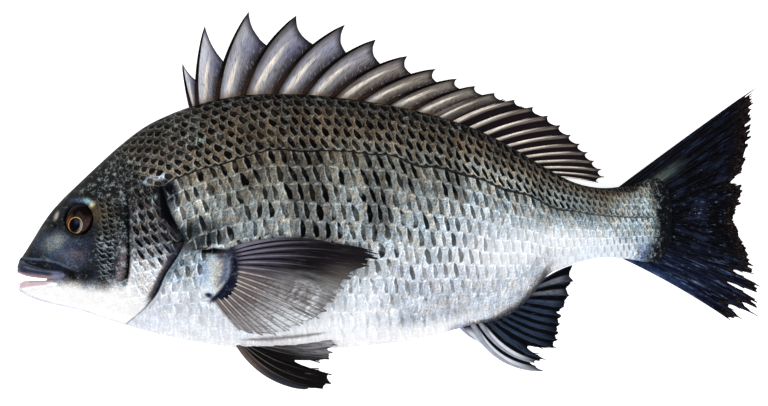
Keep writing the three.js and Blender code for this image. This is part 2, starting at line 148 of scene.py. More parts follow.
def ellipse(x, y, centre, radii, soft=0.35, turn=0):
    """1 inside an ellipse, fading to 0 over the share soft of its radii. turn is in degrees."""
    angle = np.radians(turn)
    dx, dy = x - centre[0], y - centre[1]
    along = dx * np.cos(angle) + dy * np.sin(angle)
    over = dy * np.cos(angle) - dx * np.sin(angle)
    distance = np.hypot(along / radii[0], over / radii[1])
    return smooth(1 + soft, 1 - soft, distance)


def unit(vectors):
    return vectors / np.maximum(np.linalg.norm(vectors, axis=-1, keepdims=True), 1e-9)


def hashed(a, b):
    """An even spread of numbers from 0 to 1, one for each pair of whole numbers."""
    return ON_ARRAYS["FRACT"](np.sin(a * 12.9898 + b * 78.233) * 43758.5453)


def ripple(x, y, wavelength, seed):
    """A smooth random height from about -1 to 1, made of waves in several directions."""
    draw = np.random.default_rng(seed)
    total = 0
    waves = 7
    for _ in range(waves):
        turn, phase = draw.uniform(0, 2 * np.pi, 2)
        length = wavelength * draw.uniform(0.7, 1.6)
        total = total + np.sin((x * np.cos(turn) + y * np.sin(turn)) * 2 * np.pi / length + phase)
    return total / np.sqrt(waves)


# ---------------------------------------------------------------- the solid's dimensions

REST_HEIGHT = 20.8  # of the fish's middle plane above the table
TAIL_DROOP = 12  # how far the tail's end sinks towards the table
DROOP_FROM, TAIL_END = 20, 159.5  # X where the droop starts and where the tail ends

# The outline and half the thickness of the body, by X.
back = Curve([
    (-159.4, -30.1), (-158.7, -26.4), (-157.4, -24.5), (-155.7, -21.9), (-153.1, -17.8),
    (-149.6, -12), (-145.3, -5.8), (-140.2, 0), (-133.3, 6.7), (-125.6, 14), (-115.2, 23.4),
    (-104.9, 31.2), (-93.7, 36.8), (-80.8, 41.3), (-65.4, 44.6), (-48.2, 45.7), (-29.2, 44.9),
    (-12, 42.8), (5.2, 39.9), (22.4, 35.7), (39.6, 29.7), (56.8, 20.6), (68.8, 13.3),
    (80.4, 7.5), (93.3, 5.2), (104.1, 6.7), (112.7, 9.2), (118.7, 7.7), (122.1, 0),
])
belly = Curve([
    (-159.4, -34.4), (-158.7, -38.5), (-157.4, -39.8), (-155.7, -40.9), (-153.1, -42.1),
    (-145.3, -44.5), (-133.3, -47.1), (-125.6, -49.5), (-115.2, -52.9), (-104.9, -55.9),
    (-93.7, -58.6), (-80.8, -61.2), (-65.4, -63.4), (-48.2, -64.1), (-29.2, -63.9),
    (-12, -62.8), (5.2, -60.8), (22.4, -57.4), (36, -53.7), (48, -51.2), (56.8, -46),
    (63, -39.6), (68.8, -32.3), (74.8, -29.2), (80.4, -27.3), (93.3, -24.7), (104.1, -25.6),
    (112.7, -26.7), (118.7, -24.5), (122.1, -17.2),
])
half_thickness = Curve([
    (-159.4, 1.5), (-158.7, 3.6), (-157.4, 5), (-155.7, 6.2), (-153.1, 7.4), (-149.6, 8.8),
    (-145.3, 10.4), (-140.2, 12.2), (-133.3, 14.3), (-125.6, 16.4), (-115.2, 18.8),
    (-104.9, 20.6), (-93.7, 21.8), (-80.8, 22.6), (-65.4, 23), (-48.2, 23.1), (-29.2, 22.6),
    (-12, 21.3), (5.2, 19.2), (22.4, 16.5), (39.6, 13.6), (56.8, 10.7), (68.8, 8.9),
    (80.4, 7.4), (93.3, 6.3), (104.1, 5.1), (112.7, 3.3), (118.7, 1.8), (122.1, 1),
])
# Where a section is widest, as a share of the way from belly to back, and how full it is.
widest = Curve([
    (-159.4, 0.5), (-140, 0.4), (-115, 0.42), (-80, 0.5), (-30, 0.55), (60, 0.53), (122, 0.5),
])
BACK_POWER, BACK_ROOT = 1.9, 0.6
BELLY_POWER, BELLY_ROOT = 2.2, 0.54

# Rear edges of the gill cover and the cheek plate, as X by Y, and how plainly they show, by Y.
gill_edge = Curve([
    (-53.8, -113.5), (-47.7, -106), (-40.9, -99.9), (-31.8, -95.5), (-24.5, -90.6),
    (-20.2, -88.4), (-16.3, -87.7), (-12.5, -90.3), (-6.9, -93.7), (0.4, -95.9), (9.5, -97.8),
])
cheek_edge = Curve([(-43, -117.5), (-38, -114.2), (-33, -112.6), (-17, -111.9), (6, -112.6)])
gill_strength = Curve([(-56, 0), (-50, 0.35), (-42, 1), (-16, 1), (3, 0.9), (9, 0)])
cheek_strength = Curve([(-45, 0), (-39, 0.4), (-34, 1), (-2, 1), (6, 0)])
GILL_COVER = {"lift": 1.3, "fade": 12, "slit_depth": 0.9, "slit_at": 1.1, "slit_width": 1.5}
CHEEK_PLATE = {"lift": 0.6, "fade": 6, "slit_depth": 0.5, "slit_at": 0.9, "slit_width": 1.2}
LEAN_START, LEAN_CHEEK, LEAN_GILL, LEAN_END = -150, -112.2, -95, -60  # X of the lines that bend

EYE_X, EYE_Y = -132.7, -8.2
EYE_RX, EYE_RY, EYE_DEPTH = 7, 7.7, 3.8
EYE_PROUD = 1.9  # how far the eyeball stands out of the flank
RIM_AT, RIM_LIFT, RIM_WIDTH = 1.12, 0.7, 1.6
# The fleshy pad at the pectoral fin's root.
PAD_X, PAD_Y, PAD_RX, PAD_RY, PAD_LIFT = -70.5, -31.5, 6.5, 12.5, 1.4

# The mouth's gap, and the rolls of flesh round it.
mouth_upper = Curve([(-163, -31.6), (-156.5, -32.1), (-151.4, -33), (-147, -34)])
mouth_lower = Curve([(-163, -35.8), (-156.5, -34.9), (-151.4, -34.6), (-147, -34)])
UPPER_LIP = {
    "front": -157.2, "corner": -138.6, "y_front": -29, "y_corner": -32,
    "tall": 2.9, "thick": 2, "end_share": 0.7,
}
LOWER_LIP = {
    "front": -156.4, "corner": -141.5, "y_front": -37, "y_corner": -35.8,
    "tall": 2, "thick": 1.8, "end_share": 0.5,
}

# ---------------------------------------------------------------- the body's surface


def middle(x):
    """Height of the body's middle plane above the table."""
    share = np.clip((x - DROOP_FROM) / (TAIL_END - DROOP_FROM), 0, None)
    return REST_HEIGHT - TAIL_DROOP * share**2


def widest_y(x):
    """Y where the section at X is widest."""
    return mix(belly(x), back(x), widest(x))


def side(t, above):
    """Share of a section's half thickness at the share t of the way to the back or belly."""
    power = np.where(above, BACK_POWER, BELLY_POWER)
    root = np.where(above, BACK_ROOT, BELLY_ROOT)
    return (1 - np.clip(t, 0, 1) ** power) ** root


def flank(x, y):
    """Half thickness of the plain body at (x, y), without relief."""
    centre = widest_y(x)
    above = y >= centre
    t = np.where(above, (y - centre) / (back(x) - centre), (centre - y) / (centre - belly(x)))
    return half_thickness(x) * side(t, above)


def plate(distance, form):
    """A plate that rises towards its free edge and drops into a slit behind it."""
    raised = np.where(distance < 0, form["lift"] * np.exp(np.minimum(distance, 0) / form["fade"]), 0)
    return raised - form["slit_depth"] * bell((distance - form["slit_at"]) / form["slit_width"])


def orbit(x, y):
    """Distance from the eye's middle, 1 at the eyeball's own outline."""
    return np.hypot((x - EYE_X) / EYE_RX, (y - EYE_Y) / EYE_RY)


def plates(x, y):
    """Relief of the head's plates, the eye's rim and the pectoral fin's pad."""
    gill = gill_strength(y) * plate(x - gill_edge(y), GILL_COVER)
    cheek = cheek_strength(y) * plate(x - cheek_edge(y), CHEEK_PLATE)
    rim = RIM_LIFT * bell((orbit(x, y) - RIM_AT) * EYE_RX / RIM_WIDTH)
    pad = ((x - PAD_X) / PAD_RX) ** 2 + ((y - PAD_Y) / PAD_RY) ** 2
    return gill + cheek + rim + PAD_LIFT * bell(pad)


def lean(x, y):
    """How far a section line bends at height y, so that lines follow the head's plates."""
    cheek = cheek_edge(y) - LEAN_CHEEK
    gill = gill_edge(y) - LEAN_GILL
    front = cheek * (x - LEAN_START) / (LEAN_CHEEK - LEAN_START)
    between = mix(cheek, gill, (x - LEAN_CHEEK) / (LEAN_GILL - LEAN_CHEEK))
    rear = gill * (LEAN_END - x) / (LEAN_END - LEAN_GILL)
    bend = np.where(x <= LEAN_CHEEK, front, np.where(x <= LEAN_GILL, between, rear))
    return np.where((x <= LEAN_START) | (x >= LEAN_END), 0, bend)


def section(line, angle):
    """X, Y and height above the middle plane, on the section that starts from X = line."""
    s = np.sin(angle)
    x = line + 0 * angle
    for _ in range(BEND_ROUNDS):
        centre = widest_y(x)
        y = centre + s * np.where(s > 0, back(x) - centre, centre - belly(x))
        x = line + lean(line, y)
    out = half_thickness(x) * side(np.abs(s), s > 0) + plates(x, y) * (1 - s**4)
    return x, y, out


BEND_ROUNDS = 4  # enough for a bent section line to settle
# Distance between section lines: (X where a stretch ends, distance).
LINE_STEPS = [(-158.7, 0.2), (-155, 0.35), (-118, 0.55), (-84, 0.45), (60, 0.6), (122.1, 0.62)]
HEAD_MARGIN = 0.6  # the head's scales reach this far past the gill cover's edge
NAPE = 6  # above this Y the nape's scales run on over the head
ROWS = 230  # steps from belly to back
TRIAL_ROWS = 900  # finer steps, by which the rows are spread evenly over the skin


def section_lines():
    lines = [back.at[0]]
    for end, spacing in LINE_STEPS:
        count = round((end - lines[-1]) / spacing)
        lines += list(np.linspace(lines[-1], end, count + 1)[1:])
    return np.array(lines)


class Skin:
    """The left flank as a grid: one row of arrays for each section, from belly to back.

    to_ridge is the distance over the skin to the back or belly, height is 0 at the belly and 1
    at the back, and gill and cheek are the distances behind the edges of those plates.
    """

    def __init__(self):
        lines = section_lines()
        trial = np.linspace(-np.pi / 2, np.pi / 2, TRIAL_ROWS)
        shares = np.linspace(0, 1, ROWS + 1)
        angles = np.array([self.even_angles(line, trial, shares) for line in lines])
        self.lines = lines
        self.x, self.y, out = section(lines[:, None], angles)
        self.points = np.stack([self.x, self.y, out], -1)
        self.normals = grid_normals(self.points)
        steps = np.linalg.norm(np.diff(self.points[..., 1:], axis=1), axis=-1)
        self.arc = np.concatenate([np.zeros((len(lines), 1)), np.cumsum(steps, 1)], 1)
        self.to_ridge = np.minimum(self.arc, self.arc[:, -1:] - self.arc)
        self.height = (self.y - belly(self.x)) / (back(self.x) - belly(self.x))
        self.gill = self.x - gill_edge(self.y)
        self.cheek = self.x - cheek_edge(self.y)
        self.on_head = (self.gill < 0) & (self.y < NAPE)

    @staticmethod
    def even_angles(line, trial, shares):
        """Angles at which the points of one section are evenly spread over the skin."""
        _, y, out = section(line, trial)
        length = np.concatenate([[0], np.cumsum(np.hypot(np.diff(y), np.diff(out)))])
        return np.interp(shares * length[-1], length, trial)


def grid_normals(points):
    """Outward unit normals of a grid of points, columns by rows."""
    along = np.gradient(points, axis=0)
    up = np.gradient(points, axis=1)
    return unit(np.cross(along, up))


# ---------------------------------------------------------------- scales

LATERAL_LINE = Curve([
    (-122, -12), (-108, -4), (-93.7, 4.3), (-83.9, 10.3), (-69.7, 15.5), (-62.4, 18.3), (-55.3, 20.4),
    (-46.9, 21.5), (-34, 21.5), (-22.4, 21.1), (-7.7, 19.8), (3, 18.6), (10.8, 15.7), (24.9, 13.2),
    (39.3, 8.9), (49.9, 5), (60.6, 1.7), (71.4, -3.2), (85.6, -5.7), (103.6, -7.3), (117, -7.7),
])
# Height of the rows of scales below and above the lateral line, and width of the columns, by X.
ROW_BELOW = Curve([
    (-95, 6.2), (-80, 6.6), (-40, 7.8), (0, 7.6), (40, 6.2), (60, 5.1), (90, 3.5), (115, 2.6),
])
ROW_ABOVE = Curve([(-110, 3.6), (-80, 4.4), (-30, 5.1), (0, 5.1), (40, 4.4), (80, 3), (115, 2.4)])
COLUMN = Curve([
    (-130, 3.4), (-95, 4.5), (-60, 5.1), (-20, 5.15), (20, 4.7), (50, 4), (80, 3.1), (115, 2.3),
])
SCALE_LEAN = Curve([(-14, 0.5), (-1, 0.45), (2, 0.35), (4, 0.12), (8, 0.1)])  # by row
ABOVE_SQUEEZE = 1.12  # columns above the lateral line to one below it
ROW_DRIFT = Curve([(-12, 1.9), (-1, 0.2), (1, -0.12), (2, -0.42), (3, -0.8), (9, -3.2)])  # by row
TIP_RISE = (0.2, 0.36)  # share of a row that a scale's tip reaches up, below the line and above
TIP_AT = 0.5  # where the tip is, as a share of a scale's length in front of its rear edge
BULGE = 0.2  # how far a scale's rear edge bulges back, as a share of its length
SCALE_LIFT = 0.26
STEP_BACK = 0.12  # share of a scale's length in which it steps down to the next
CHEEK_SCALE, CHEEK_SLANT = (3.3, 2.4), 0.15  # length and height, and how the rows slant
GILL_SCALE, GILL_SLANT = (3.9, 5.2), 0.2
HEAD_LEAN = 0.5
# How unevenly the scales lie along the flank and across it: share, wavelength and seed.
WOBBLE_ALONG = [(0.08, 12, 3), (0.02, 3.5, 5)]
WOBBLE_ACROSS = [(0.05, 14, 4), (0.015, 4, 6)]


def scale_cell(u, v, lean_share):
    """Where a point lies on its scale: the scale's row and column, the place across it (-0.5 at
    its upper side to 0.5), and how far in front of the rear edge and past the upper border it is,
    as shares of the scale.
    """
    upper = compute("FLOOR", v)
    tip = compute("ABSOLUTE", 2 * compute("FRACT", u + 0.5 * lean_share + BULGE + TIP_AT) - 1)
    border = 1 - mix(*TIP_RISE, smooth(0.2, -1.0, v)) * tip
    row = upper + compute("GREATER_THAN", v - upper, border)
    across = v - row - 0.5
    place = u - lean_share * across + 4 * BULGE * across * across
    ahead = 1 - compute("FRACT", place)
    return row, compute("FLOOR", place), across, ahead, v - upper - border


def scale_height(u, v, lean_share):
    """Relief of the scales: each rises towards its rear edge, where it steps down."""
    row, column, across, ahead, _ = scale_cell(u, v, lean_share)
    slope = np.maximum(1 - ahead, (ahead - 1 + STEP_BACK) / STEP_BACK)
    crown = 1 - 0.45 * (2 * across) ** 2
    return slope * crown * mix(0.75, 1.25, hashed(row, column))


class Lattice:
    """The rows and columns of scales over the flank, counted in scales."""

    def __init__(self, skin):
        x, y = skin.x, skin.y
        line_arc = np.array([
            np.interp(LATERAL_LINE(x[i, ROWS // 2]), y[i], skin.arc[i]) for i in range(len(x))
        ])[:, None]
        below = line_arc - skin.arc
        self.v = np.where(below > 0, below / ROW_BELOW(x), below / ROW_ABOVE(x))
        at = np.linspace(back.at[0], back.at[-1] + 1, 2000)
        count = np.concatenate([[0], np.cumsum(np.diff(at) / COLUMN(at[1:]))])
        self.u = np.interp(x, at, count) * np.where(below > 0, 1, ABOVE_SQUEEZE)
        drift_slope = ROW_DRIFT(self.v + 0.5) - ROW_DRIFT(self.v - 0.5)
        self.u = self.u - ROW_DRIFT(self.v)
        # Below the lateral line, the scales of the rear stand more upright.
        upright = 1 - 0.8 * smooth(10, 50, x) * smooth(0.5, 2.5, self.v)
        self.lean = SCALE_LEAN(self.v) * upright - drift_slope
        head = (skin.gill < HEAD_MARGIN) & (y <= NAPE)
        cheek = head & (skin.cheek < 0)
        self.lay_out(head & ~cheek, x, y, GILL_SCALE, GILL_SLANT)
        self.lay_out(cheek, x, y, CHEEK_SCALE, CHEEK_SLANT)
        self.u = self.u + sum(share * ripple(x, y, *wave) for share, *wave in WOBBLE_ALONG)
        self.v = self.v + sum(share * ripple(x, y, *wave) for share, *wave in WOBBLE_ACROSS)
        self.scaled = self.strength(skin, head)

    def lay_out(self, area, x, y, size, slant):
        """Straight rows of scales of one size, in an area of the head."""
        length, height = size
        self.u = np.where(area, (x + slant * y) / length, self.u)
        self.v = np.where(area, (slant * x - y) / height, self.v)
        self.lean = np.where(area, HEAD_LEAN, self.lean)

    @staticmethod
    def strength(skin, head):
        """Where there are scales at all: none on the snout, the jaws and round the eye."""
        x, y, gill, cheek = skin.x, skin.y, skin.gill, skin.cheek
        nape = smooth(-121, -108, x + 0.25 * (y - 10))
        body = np.where(y > NAPE, nape, smooth(0.8, 2.4, gill))
        cheek_area = smooth(-128.5, -125, x + 0.1 * y) * smooth(-36, -32, y) * smooth(3, -2, y)
        cheek_area = cheek_area * smooth(-1.5, -4, cheek - 0.12 * y)
        gill_area = smooth(1.5, 3, cheek) * smooth(-1.5, -5, gill) * smooth(-46, -40, y)
        strength = np.where(head, np.maximum(cheek_area, gill_area), body)
        clear = smooth(1.25, 1.6, orbit(x, y)) * (1 - ellipse(x, y, (-72, -32), (7, 11), 0.3))
        return strength * clear * smooth(116.5, 114, x) * smooth(0.2, 1.6, skin.to_ridge)


# ---------------------------------------------------------------- fine relief of the head

SOCKET_EDGE, SOCKET_FLOOR, SOCKET_DEPTH = 0.9, 0.76, 2.6  # edge and floor as shares of the eye
LID_AT, LID_LIFT, LID_WIDTH = 0.98, 0.25, 0.05
LIP_GROOVE_DEPTH, LIP_GROOVE_WIDTH = 0.55, 0.7
SKULL_BUMPS = 0.12
NOSTRIL = {"x": -143.2, "y": -10.7, "rx": 0.8, "ry": 1.3, "depth": 0.9}
LIP_GROOVE = Curve([
    (-158.4, -24.9), (-156.1, -25.6), (-148.1, -26.4), (-142, -27.6), (-137, -29.8), (-134, -30.6),
])


def head_relief(x, y):
    """The nostril, the groove over the lip, the eye's socket and lid, and the skull's bumps."""
    nostril = ellipse(x, y, (NOSTRIL["x"], NOSTRIL["y"]), (NOSTRIL["rx"], NOSTRIL["ry"]), 0.6, 20)
    groove = bell((y - LIP_GROOVE(x)) / LIP_GROOVE_WIDTH) * smooth(-133, -138, x)
    socket = smooth(SOCKET_EDGE, SOCKET_FLOOR, orbit(x, y))
    lid = LID_LIFT * bell((orbit(x, y) - LID_AT) / LID_WIDTH)
    bone = SKULL_BUMPS * ripple(x, y, 7, 8) * smooth(-118, -130, x)
    hollows = LIP_GROOVE_DEPTH * groove + NOSTRIL["depth"] * nostril + SOCKET_DEPTH * socket
    return lid + bone - hollows


def line_groove(skin, lattice):
    """Where the lateral line's shallow groove is."""
    return bell(lattice.v / 0.09) * smooth(-97, -92, skin.x) * smooth(118, 112, skin.x)


# ---------------------------------------------------------------- paint, by place


def linear(colour):
    """sRGB, 0 to 255, as the linear colour that materials take."""
    share = np.asarray(colour, float) / 255
    return np.where(share <= 0.04045, share / 12.92, ((share + 0.055) / 1.055) ** 2.4)


def rgba(colour):
    """The same, as the four numbers of a material's colour socket."""
    return (*[float(c) for c in linear(colour)], 1.0)


class Tone:
    """A colour at every point of the skin, built up by laying one paint over another."""

    def __init__(self, skin, colour):
        self.skin = skin
        self.colour = colour

    def lay(self, colour, share):
        share = np.asarray(share)[..., None]
        self.colour = self.colour * (1 - share) + np.array(colour, float) * share

    def spots(self, table, within=1):
        for colour, strength, *place in table:
            self.lay(colour, within * strength * ellipse(self.skin.x, self.skin.y, *place))


# Colour of the flank by height, 0 at the belly and 1 at the back.
FLANK_PAINT = [
    (0, (222, 220, 222)), (0.05, (232, 233, 236)), (0.1, (224, 227, 232)), (0.18, (204, 209, 217)),
    (0.3, (184, 191, 198)), (0.38, (168, 176, 181)), (0.46, (152, 159, 162)), (0.54, (139, 143, 143)),
    (0.63, (126, 127, 122)), (0.72, (112, 109, 100)), (0.83, (98, 87, 73)), (0.93, (75, 64, 52)),
    (0.975, (36, 31, 29)), (1, (6, 6, 8)),
]
SLATE, INK = (13, 15, 21), (3, 3, 5)
WHITE_JAW = (228, 227, 227)
DARK_ABOVE = Curve([
    (-160, -33), (-145, -34.2), (-137, -34.6), (-123, -37), (-116, -36), (-111, -36), (-104, -42),
    (-96, -46),
])  # border of the dark head over the white jaw


def flank_paint(x, y):
    """Paint by height, darker or lighter in places along the middle of the flank."""
    height = (y - belly(x)) / (back(x) - belly(x))
    mid = smooth(0.95, 0.7, height) * smooth(0.05, 0.25, height)
    rear = smooth(10, 40, x) * smooth(92, 74, x)
    height = height + mid * (0.08 * smooth(-25, -60, x) - 0.06 * smooth(-20, -5, x) - 0.155 * rear)
    at = [stop for stop, _ in FLANK_PAINT]
    channels = [np.interp(height, at, [paint[c] for _, paint in FLANK_PAINT]) for c in range(3)]
    return np.stack(channels, -1)


def throat_share(x, y):
    """Where the white of the jaw and throat is."""
    wavy = 0.4 * ripple(x, y, 5, 11)
    return smooth(3.8, -4, y - DARK_ABOVE(x) - wavy) * smooth(0.5, -0.5, x - gill_edge(y))


PELVIC_RAY = Curve([(-64, -60), (-52, -59.6), (-38, -58.4), (-25, -56.6)])


def upper_pelvic_ray(x, y):
    """Where the last ray of the pelvic fin lies, spread up over the belly."""
    thin = mix(0.4, 0.9, smooth(-64, -50, x) * smooth(-26, -44, x))
    return bell((y - PELVIC_RAY(x)) / thin) * smooth(-65, -58, x) * smooth(-25, -31, x)


FIN_ROOT = Curve([
    (-43, -74.6), (-40.3, -71.6), (-37.6, -69.3), (-33.5, -66.6), (-26.5, -65.6), (-21, -67),
])  # root line of the pectoral fin, as X by Y

# Spots of paint on the skin: colour, strength, middle, radii, softness and turn in degrees.
SNOUT_SPOTS = [
    ((64, 75, 94), 0.9, (-141, -21), (12, 6.5), 0.7, -20),
    # A painted highlight on the snout's side.
    ((132, 136, 132), 0.75, (-142.5, -18), (5, 2.8), 0.8, 35),
    ((84, 78, 92), 0.6, (-134, -24), (6, 4), 0.8, -20),
    ((44, 50, 70), 0.7, (-131, -18.5), (7, 2.4), 0.7, 10),
    ((72, 66, 48), 0.7, (-122.5, -7), (3, 7), 0.8, -15),
]
# Round the eye, in the nostril, at the gill opening's top and on the nape, with painted highlights and
# shade among them.
HEAD_SPOTS = [
    ((84, 66, 44), 0.8, (-125.6, -5.2), (2.2, 4), 0.7, -20),
    # Painted highlights over the eye: a bluish arc, a teal spot and a cream spot.
    ((54, 72, 100), 0.8, (-132.4, -0.3), (4.6, 0.9), 0.8, -8),
    ((128, 166, 172), 1, (-128.8, -0.5), (2.4, 1.1), 0.8, -25),
    ((214, 204, 176), 0.9, (-126.9, -2), (1.1, 1.4), 0.8, -40),
    # By the nostril: a painted highlight, then painted shade in its hollow.
    ((176, 166, 166), 0.9, (-142.6, -6.9), (0.9, 2), 0.8, -20),
    (INK, 1, (NOSTRIL["x"], NOSTRIL["y"]), (0.6, 1.1), 0.6, 20),
    ((6, 8, 22), 1, (-93.4, 3.6), (3, 5.6), 0.5, 25),
    ((170, 185, 205), 0.9, (-97.2, 10.3), (2.4, 1.5), 0.6, 20),
    ((110, 125, 150), 0.7, (-103, 8.6), (4.5, 1.1), 0.8, 22),
    ((226, 226, 226), 0.8, (-88.6, -5), (1.6, 2.4), 0.9),
    ((44, 36, 32), 0.9, (-106, -11), (1.8, 2.6), 0.5, 20),
    ((60, 52, 48), 0.8, (-100.3, -6.8), (1.6, 2.2), 0.5, 10),
    ((92, 104, 96), 0.7, (-80.5, 25.6), (3.4, 2), 0.7, 15),
    ((8, 8, 8), 1, (-81.6, 22.4), (2.6, 0.9), 0.5, -3),
]
# The fleshy pad at the pectoral fin's root, with the shadow over it.
PAD_SPOTS = [
    ((30, 34, 37), 0.85, (-81, -15.5), (11, 6.5), 0.6),
    ((206, 214, 224), 0.9, (-76, -33), (5.5, 7.5), 0.6),
    ((176, 176, 166), 0.7, (-73, -32), (2.6, 5.5), 0.6),
    ((110, 130, 160), 0.5, (-80, -30), (3.5, 6), 0.7),
]
# The folds above and below that pad; the black line in the upper fold is painted shade in its crease.
FOLD_SPOTS = [
    ((176, 184, 188), 0.9, (-74.5, -20.3), (5.5, 1.2), 0.5, 4),
    (INK, 1, (-75.5, -21.7), (7, 1.3), 0.4, -4),
    ((60, 56, 66), 0.8, (-70, -23.5), (3.5, 1.8), 0.6),
    ((24, 28, 60), 1, (-76.6, -40.9), (1.5, 1), 0.5, -20),
]


def lay_flank(tone, skin, row):
    """The dark bars, and the lighter and darker areas of the flank and the rear belly."""
    x, y, height = skin.x, skin.y, skin.height
    tone.lay((32, 26, 22), 0.4 * bars(x, row))
    tone.lay((132, 131, 124), 0.4 * ellipse(x, y, (4, 19), (22, 7), 0.6, -8))
    rear_belly = smooth(0.4, 0.2, height) * smooth(-15, 12, x) * smooth(80, 62, x)
    tone.lay((176, 182, 193), 0.85 * rear_belly * smooth(0.02, 0.1, height))
    tone.lay((174, 177, 170), 0.55 * ellipse(x, y, (48, 7.5), (14, 6), 0.6, -15))
    light_rear = bell((height - 0.37) / 0.13) * smooth(36, 52, x) * smooth(90, 74, x)
    tone.lay((220, 226, 230), 0.72 * light_rear)


def lay_shoulder(tone, skin):
    """Darker behind the gill opening, bluish lower down and white at the breast."""
    x, y, gill = skin.x, skin.y, skin.gill
    past_gill = smooth(-1, 1, gill)
    shoulder = smooth(16, 0, gill) * past_gill
    tone.lay((88, 98, 108), 0.3 * shoulder * smooth(-22, -8, y) * smooth(0.95, 0.6, skin.height))
    axil = smooth(-40, -62, x) * smooth(4, 16, gill) * smooth(-32, -26, y) * smooth(8, 0, y)
    tone.lay((108, 117, 124), 0.25 * axil)
    tone.lay((128, 145, 165), 0.75 * shoulder * bell((y + 29) / 7))
    tone.lay((176, 178, 174), 0.4 * ellipse(x, y, (-83, -3), (12, 8), 0.6) * smooth(1, 3, gill))
    tone.lay((206, 211, 221), 0.95 * smooth(26, 4, gill) * smooth(-31, -41, y) * past_gill)
    tone.lay((200, 204, 214), 0.6 * ellipse(x, y, (-82, -53), (32, 8), 0.6, -6) * past_gill)


def lay_head(tone, skin, head):
    """The dark head, from the snout to the gill cover. head is 1 on it."""
    x, y, gill, cheek, height = skin.x, skin.y, skin.gill, skin.cheek, skin.height
    tone.lay(SLATE, head)
    tone.lay((11, 13, 15), head * smooth(-130, -112, x) * smooth(18, 2, y))
    tone.lay((8, 9, 11), head * smooth(0.74, 0.9, height))
    tone.lay((9, 10, 13), head * 0.7 * smooth(0.2, 0.9, ripple(x, y, 9, 33)) * smooth(-40, -30, y))
    tone.lay((30, 28, 26), 0.75 * smooth(-70, -95, x) * smooth(0.7, 0.92, height))
    tone.spots(SNOUT_SPOTS, head)
    before_edge = smooth(0.5, -1, cheek) * smooth(-129, -125, x) * smooth(-8, -16, y)
    tone.lay((32, 35, 43), head * 0.9 * before_edge)
    cover = head * smooth(1, 2, cheek)
    tone.lay((58, 56, 62), cover * smooth(2, -4, y) * smooth(-48, -36, y))
    tone.lay((112, 100, 104), head * 0.9 * bell((cheek + 2.8 - 0.06 * (y + 36)) / 2) * smooth(-14, -24, y))
    tone.lay((84, 84, 92), cover * smooth(-13, -22, y) * smooth(-3, -6, gill))
    tone.lay((196, 196, 200), cover * smooth(-18, -30, y) * smooth(-1.5, -4, gill))
    low = smooth(-20, -30, y)
    flange = smooth(mix(-6.5, -3, low), mix(-3, -1.5, low), gill) * smooth(-38, -24, y) * smooth(2, -4, y)
    tone.lay((40, 38, 50), head * flange)


def lay_throat(tone, skin):
    """The white jaw and throat, with bluish painted shade along the belly's ridge and the throat's edge,
    where the skin turns under.
    """
    x, to_ridge = skin.x, skin.to_ridge
    under = smooth(0.5, 0.2, skin.height)
    # Bluish painted shade where the skin turns under at the belly's ridge.
    tone.lay((168, 170, 192), 0.75 * smooth(4, 0.4, to_ridge) * under * smooth(-60, -100, x))
    tone.lay((186, 186, 200), 0.6 * smooth(3.5, 0.4, to_ridge) * under * smooth(70, 50, x))
    throat = throat_share(x, skin.y)
    tone.lay(WHITE_JAW, throat)
    tone.lay((216, 215, 218), throat * smooth(-118, -106, x) * 0.4)
    # Bluish painted shade at the throat's edge.
    tone.lay((158, 158, 184), throat * smooth(4.4, 0.6, to_ridge) * 0.9)


def lay_openings(tone, skin):
    """The gill opening, the edge of the cheek plate and the groove over the lip: black painted shade in
    the gill opening's gap, the cheek plate's slit and the lip's groove, and a painted highlight on the
    gill cover.
    """
    x, y, gill = skin.x, skin.y, skin.gill
    wide = 0.45 + 1.7 * bell((y + 6.5) / 7.5)
    slit = smooth(wide + 0.4, wide - 0.2, np.abs(gill + 0.4 * wide))
    # Black painted shade in the gap under the gill cover.
    tone.lay(INK, slit * smooth(-47, -38, y) * smooth(8, 4, y))
    # A painted highlight on the gill cover.
    tone.lay((150, 172, 178), 0.8 * ellipse(x, y, (-100.3, 0.2), (0.8, 2.2), 0.8, -25))
    cheek_slit = smooth(0.9, 0.35, np.abs(skin.cheek - 0.55))
    # Black painted shade in the cheek plate's slit.
    tone.lay(INK, cheek_slit * smooth(-35.5, -33.5, y) * smooth(2, -13, y))
    over_lip = y - LIP_GROOVE(x)
    behind_snout = smooth(-133, -138, x)
    # Dark painted shade in the groove over the lip.
    tone.lay((16, 18, 26), 0.9 * bell((over_lip + 0.5) / 0.6) * behind_snout)
    tone.lay(INK, ellipse(x, y, (-135.6, -32.4), (2.4, 1.5), 0.6, -30))
    tone.lay((110, 130, 160), 0.6 * bell((over_lip - 0.7) / 0.45) * behind_snout)


def lay_fin_roots(tone, skin):
    """Round the pectoral, pelvic and anal fins, with painted shade in the fold over the pectoral fin's pad
    and along the anal fin's base.
    """
    x, y = skin.x, skin.y
    tone.spots(PAD_SPOTS)
    root = x - FIN_ROOT(y)
    beside_root = smooth(-45, -42, y) * smooth(-19.5, -22, y)
    tone.lay((20, 22, 40), smooth(-3, -1, root) * smooth(8, 5, root) * beside_root)
    tone.lay((70, 76, 100), 0.8 * bell((root + 4) / 1.8) * beside_root * smooth(-38, -34, y))
    tone.spots(FOLD_SPOTS)
    tone.lay((112, 108, 112), 0.85 * upper_pelvic_ray(x, y))
    above_belly = y - belly(x)
    anal = smooth(26, 46, x) * smooth(72, 66, x)
    # Painted shade on the body along the anal fin's base: grey further out, darkest at the root.
    tone.lay((150, 154, 164), 0.6 * smooth(8, 1, above_belly) * anal)
    tone.lay((44, 44, 50), 0.9 * smooth(mix(2, 6, smooth(36, 62, x)), 0.5, above_belly) * anal)
    vent = smooth(24, 29, x) * smooth(38, 34, x)
    tone.lay((120, 124, 160), 0.6 * smooth(3.5, 0.5, above_belly) * vent)


